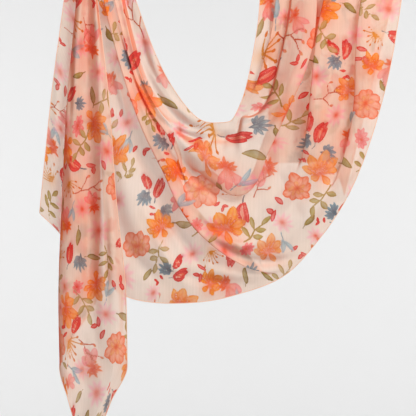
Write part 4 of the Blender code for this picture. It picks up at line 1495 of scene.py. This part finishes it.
sweep = stage_sweep(width=12.0, front=-9.0, back=8.5, floor_z=-1.9, top_z=8.0, radius=0.5)
sweep.data.materials.append(paper_material())
print("floor and wall:", len(sweep.data.polygons), "faces")

# %% [markdown]
# ## The light
# The wall has its own two lamps, which face away from the cloth and light it evenly. A large
# soft lamp above on the right is near enough to fade towards the lower left, and a weak one
# from the left keeps the shadowed sides of the folds open. A dim white sky fills the rest.

# %% Lights
SKY_STRENGTH = 0.32


def aim(thing, at):
    """Turn a light or camera so that its -Z looks at a point."""
    thing.rotation_euler = (Vector(at) - thing.location).to_track_quat("-Z", "Y").to_euler()


def soft_light(name, place, at, size, power):
    """A square lamp of so many metres and watts, that no camera sees."""
    light = bpy.data.lights.new(name, "AREA")
    light.shape = "SQUARE"
    light.size = size
    light.energy = power
    lamp = bpy.data.objects.new(name, light)
    lamp.location = place
    lamp.visible_camera = False
    bpy.context.scene.collection.objects.link(lamp)
    aim(lamp, at)


LAMPS = [
    ("key", (1.7, -1.9, 1.2), (0.25, 0.0, -0.3), 1.1, 95.0),
    ("side fill", (-1.3, -2.4, 1.5), (0.0, 0.0, -0.25), 1.3, 18.0),
    ("left wall wash", (-2.6, 5.2, 0.1), (0.8, 8.5, -0.3), 2.0, 66.0),
    ("right wall wash", (3.0, 5.2, 0.1), (-0.4, 8.5, -0.3), 2.0, 66.0),
]
for name, place, at, size, power in LAMPS:
    soft_light(name, place, at, size, power)
world = bpy.data.worlds.new("studio")
world.use_nodes = True
sky = world.node_tree.nodes["Background"]
sky.inputs["Color"].default_value = (1.0, 1.0, 1.0, 1.0)
sky.inputs["Strength"].default_value = SKY_STRENGTH
bpy.context.scene.world = world
print("lamps:", {lamp.name: f"{lamp.energy:.0f} W" for lamp in bpy.data.lights})

# %% [markdown]
# ## The camera
# The scarf is looked at straight on, from level with its middle, with a long lens that
# keeps the folds' sides from splaying. The rail's top and its ends stay out of the picture.

# %% Camera
FRAME_X, FRAME_Z, FRAMING = 0.2065, -0.504, 0.728
LENS, SENSOR = 200.0, 36.0
camera = bpy.data.objects.new("camera", bpy.data.cameras.new("camera"))
camera.data.lens = LENS
camera.data.sensor_width = SENSOR
camera.data.clip_end = 50.0
camera.location = (FRAME_X, -FRAMING * LENS / SENSOR, FRAME_Z)
aim(camera, (FRAME_X, 0.0, FRAME_Z))
bpy.context.scene.collection.objects.link(camera)
bpy.context.scene.camera = camera
bpy.context.scene.view_settings.view_transform = "Standard"
print(f"camera {-camera.location.y:.2f} m away")

# %% Finish
FLAT = {
    "tail": ((0.51, 0.99), 0.17),
    "swag_left": ((0.45, 1.05), 0.23),
    "swag_right": ((0.40, 0.48), 0.12),
    "back_end": ((0.26, 0.50), 0.10),
}
for node, piece in sheets.items():
    flat, area = FLAT[node]
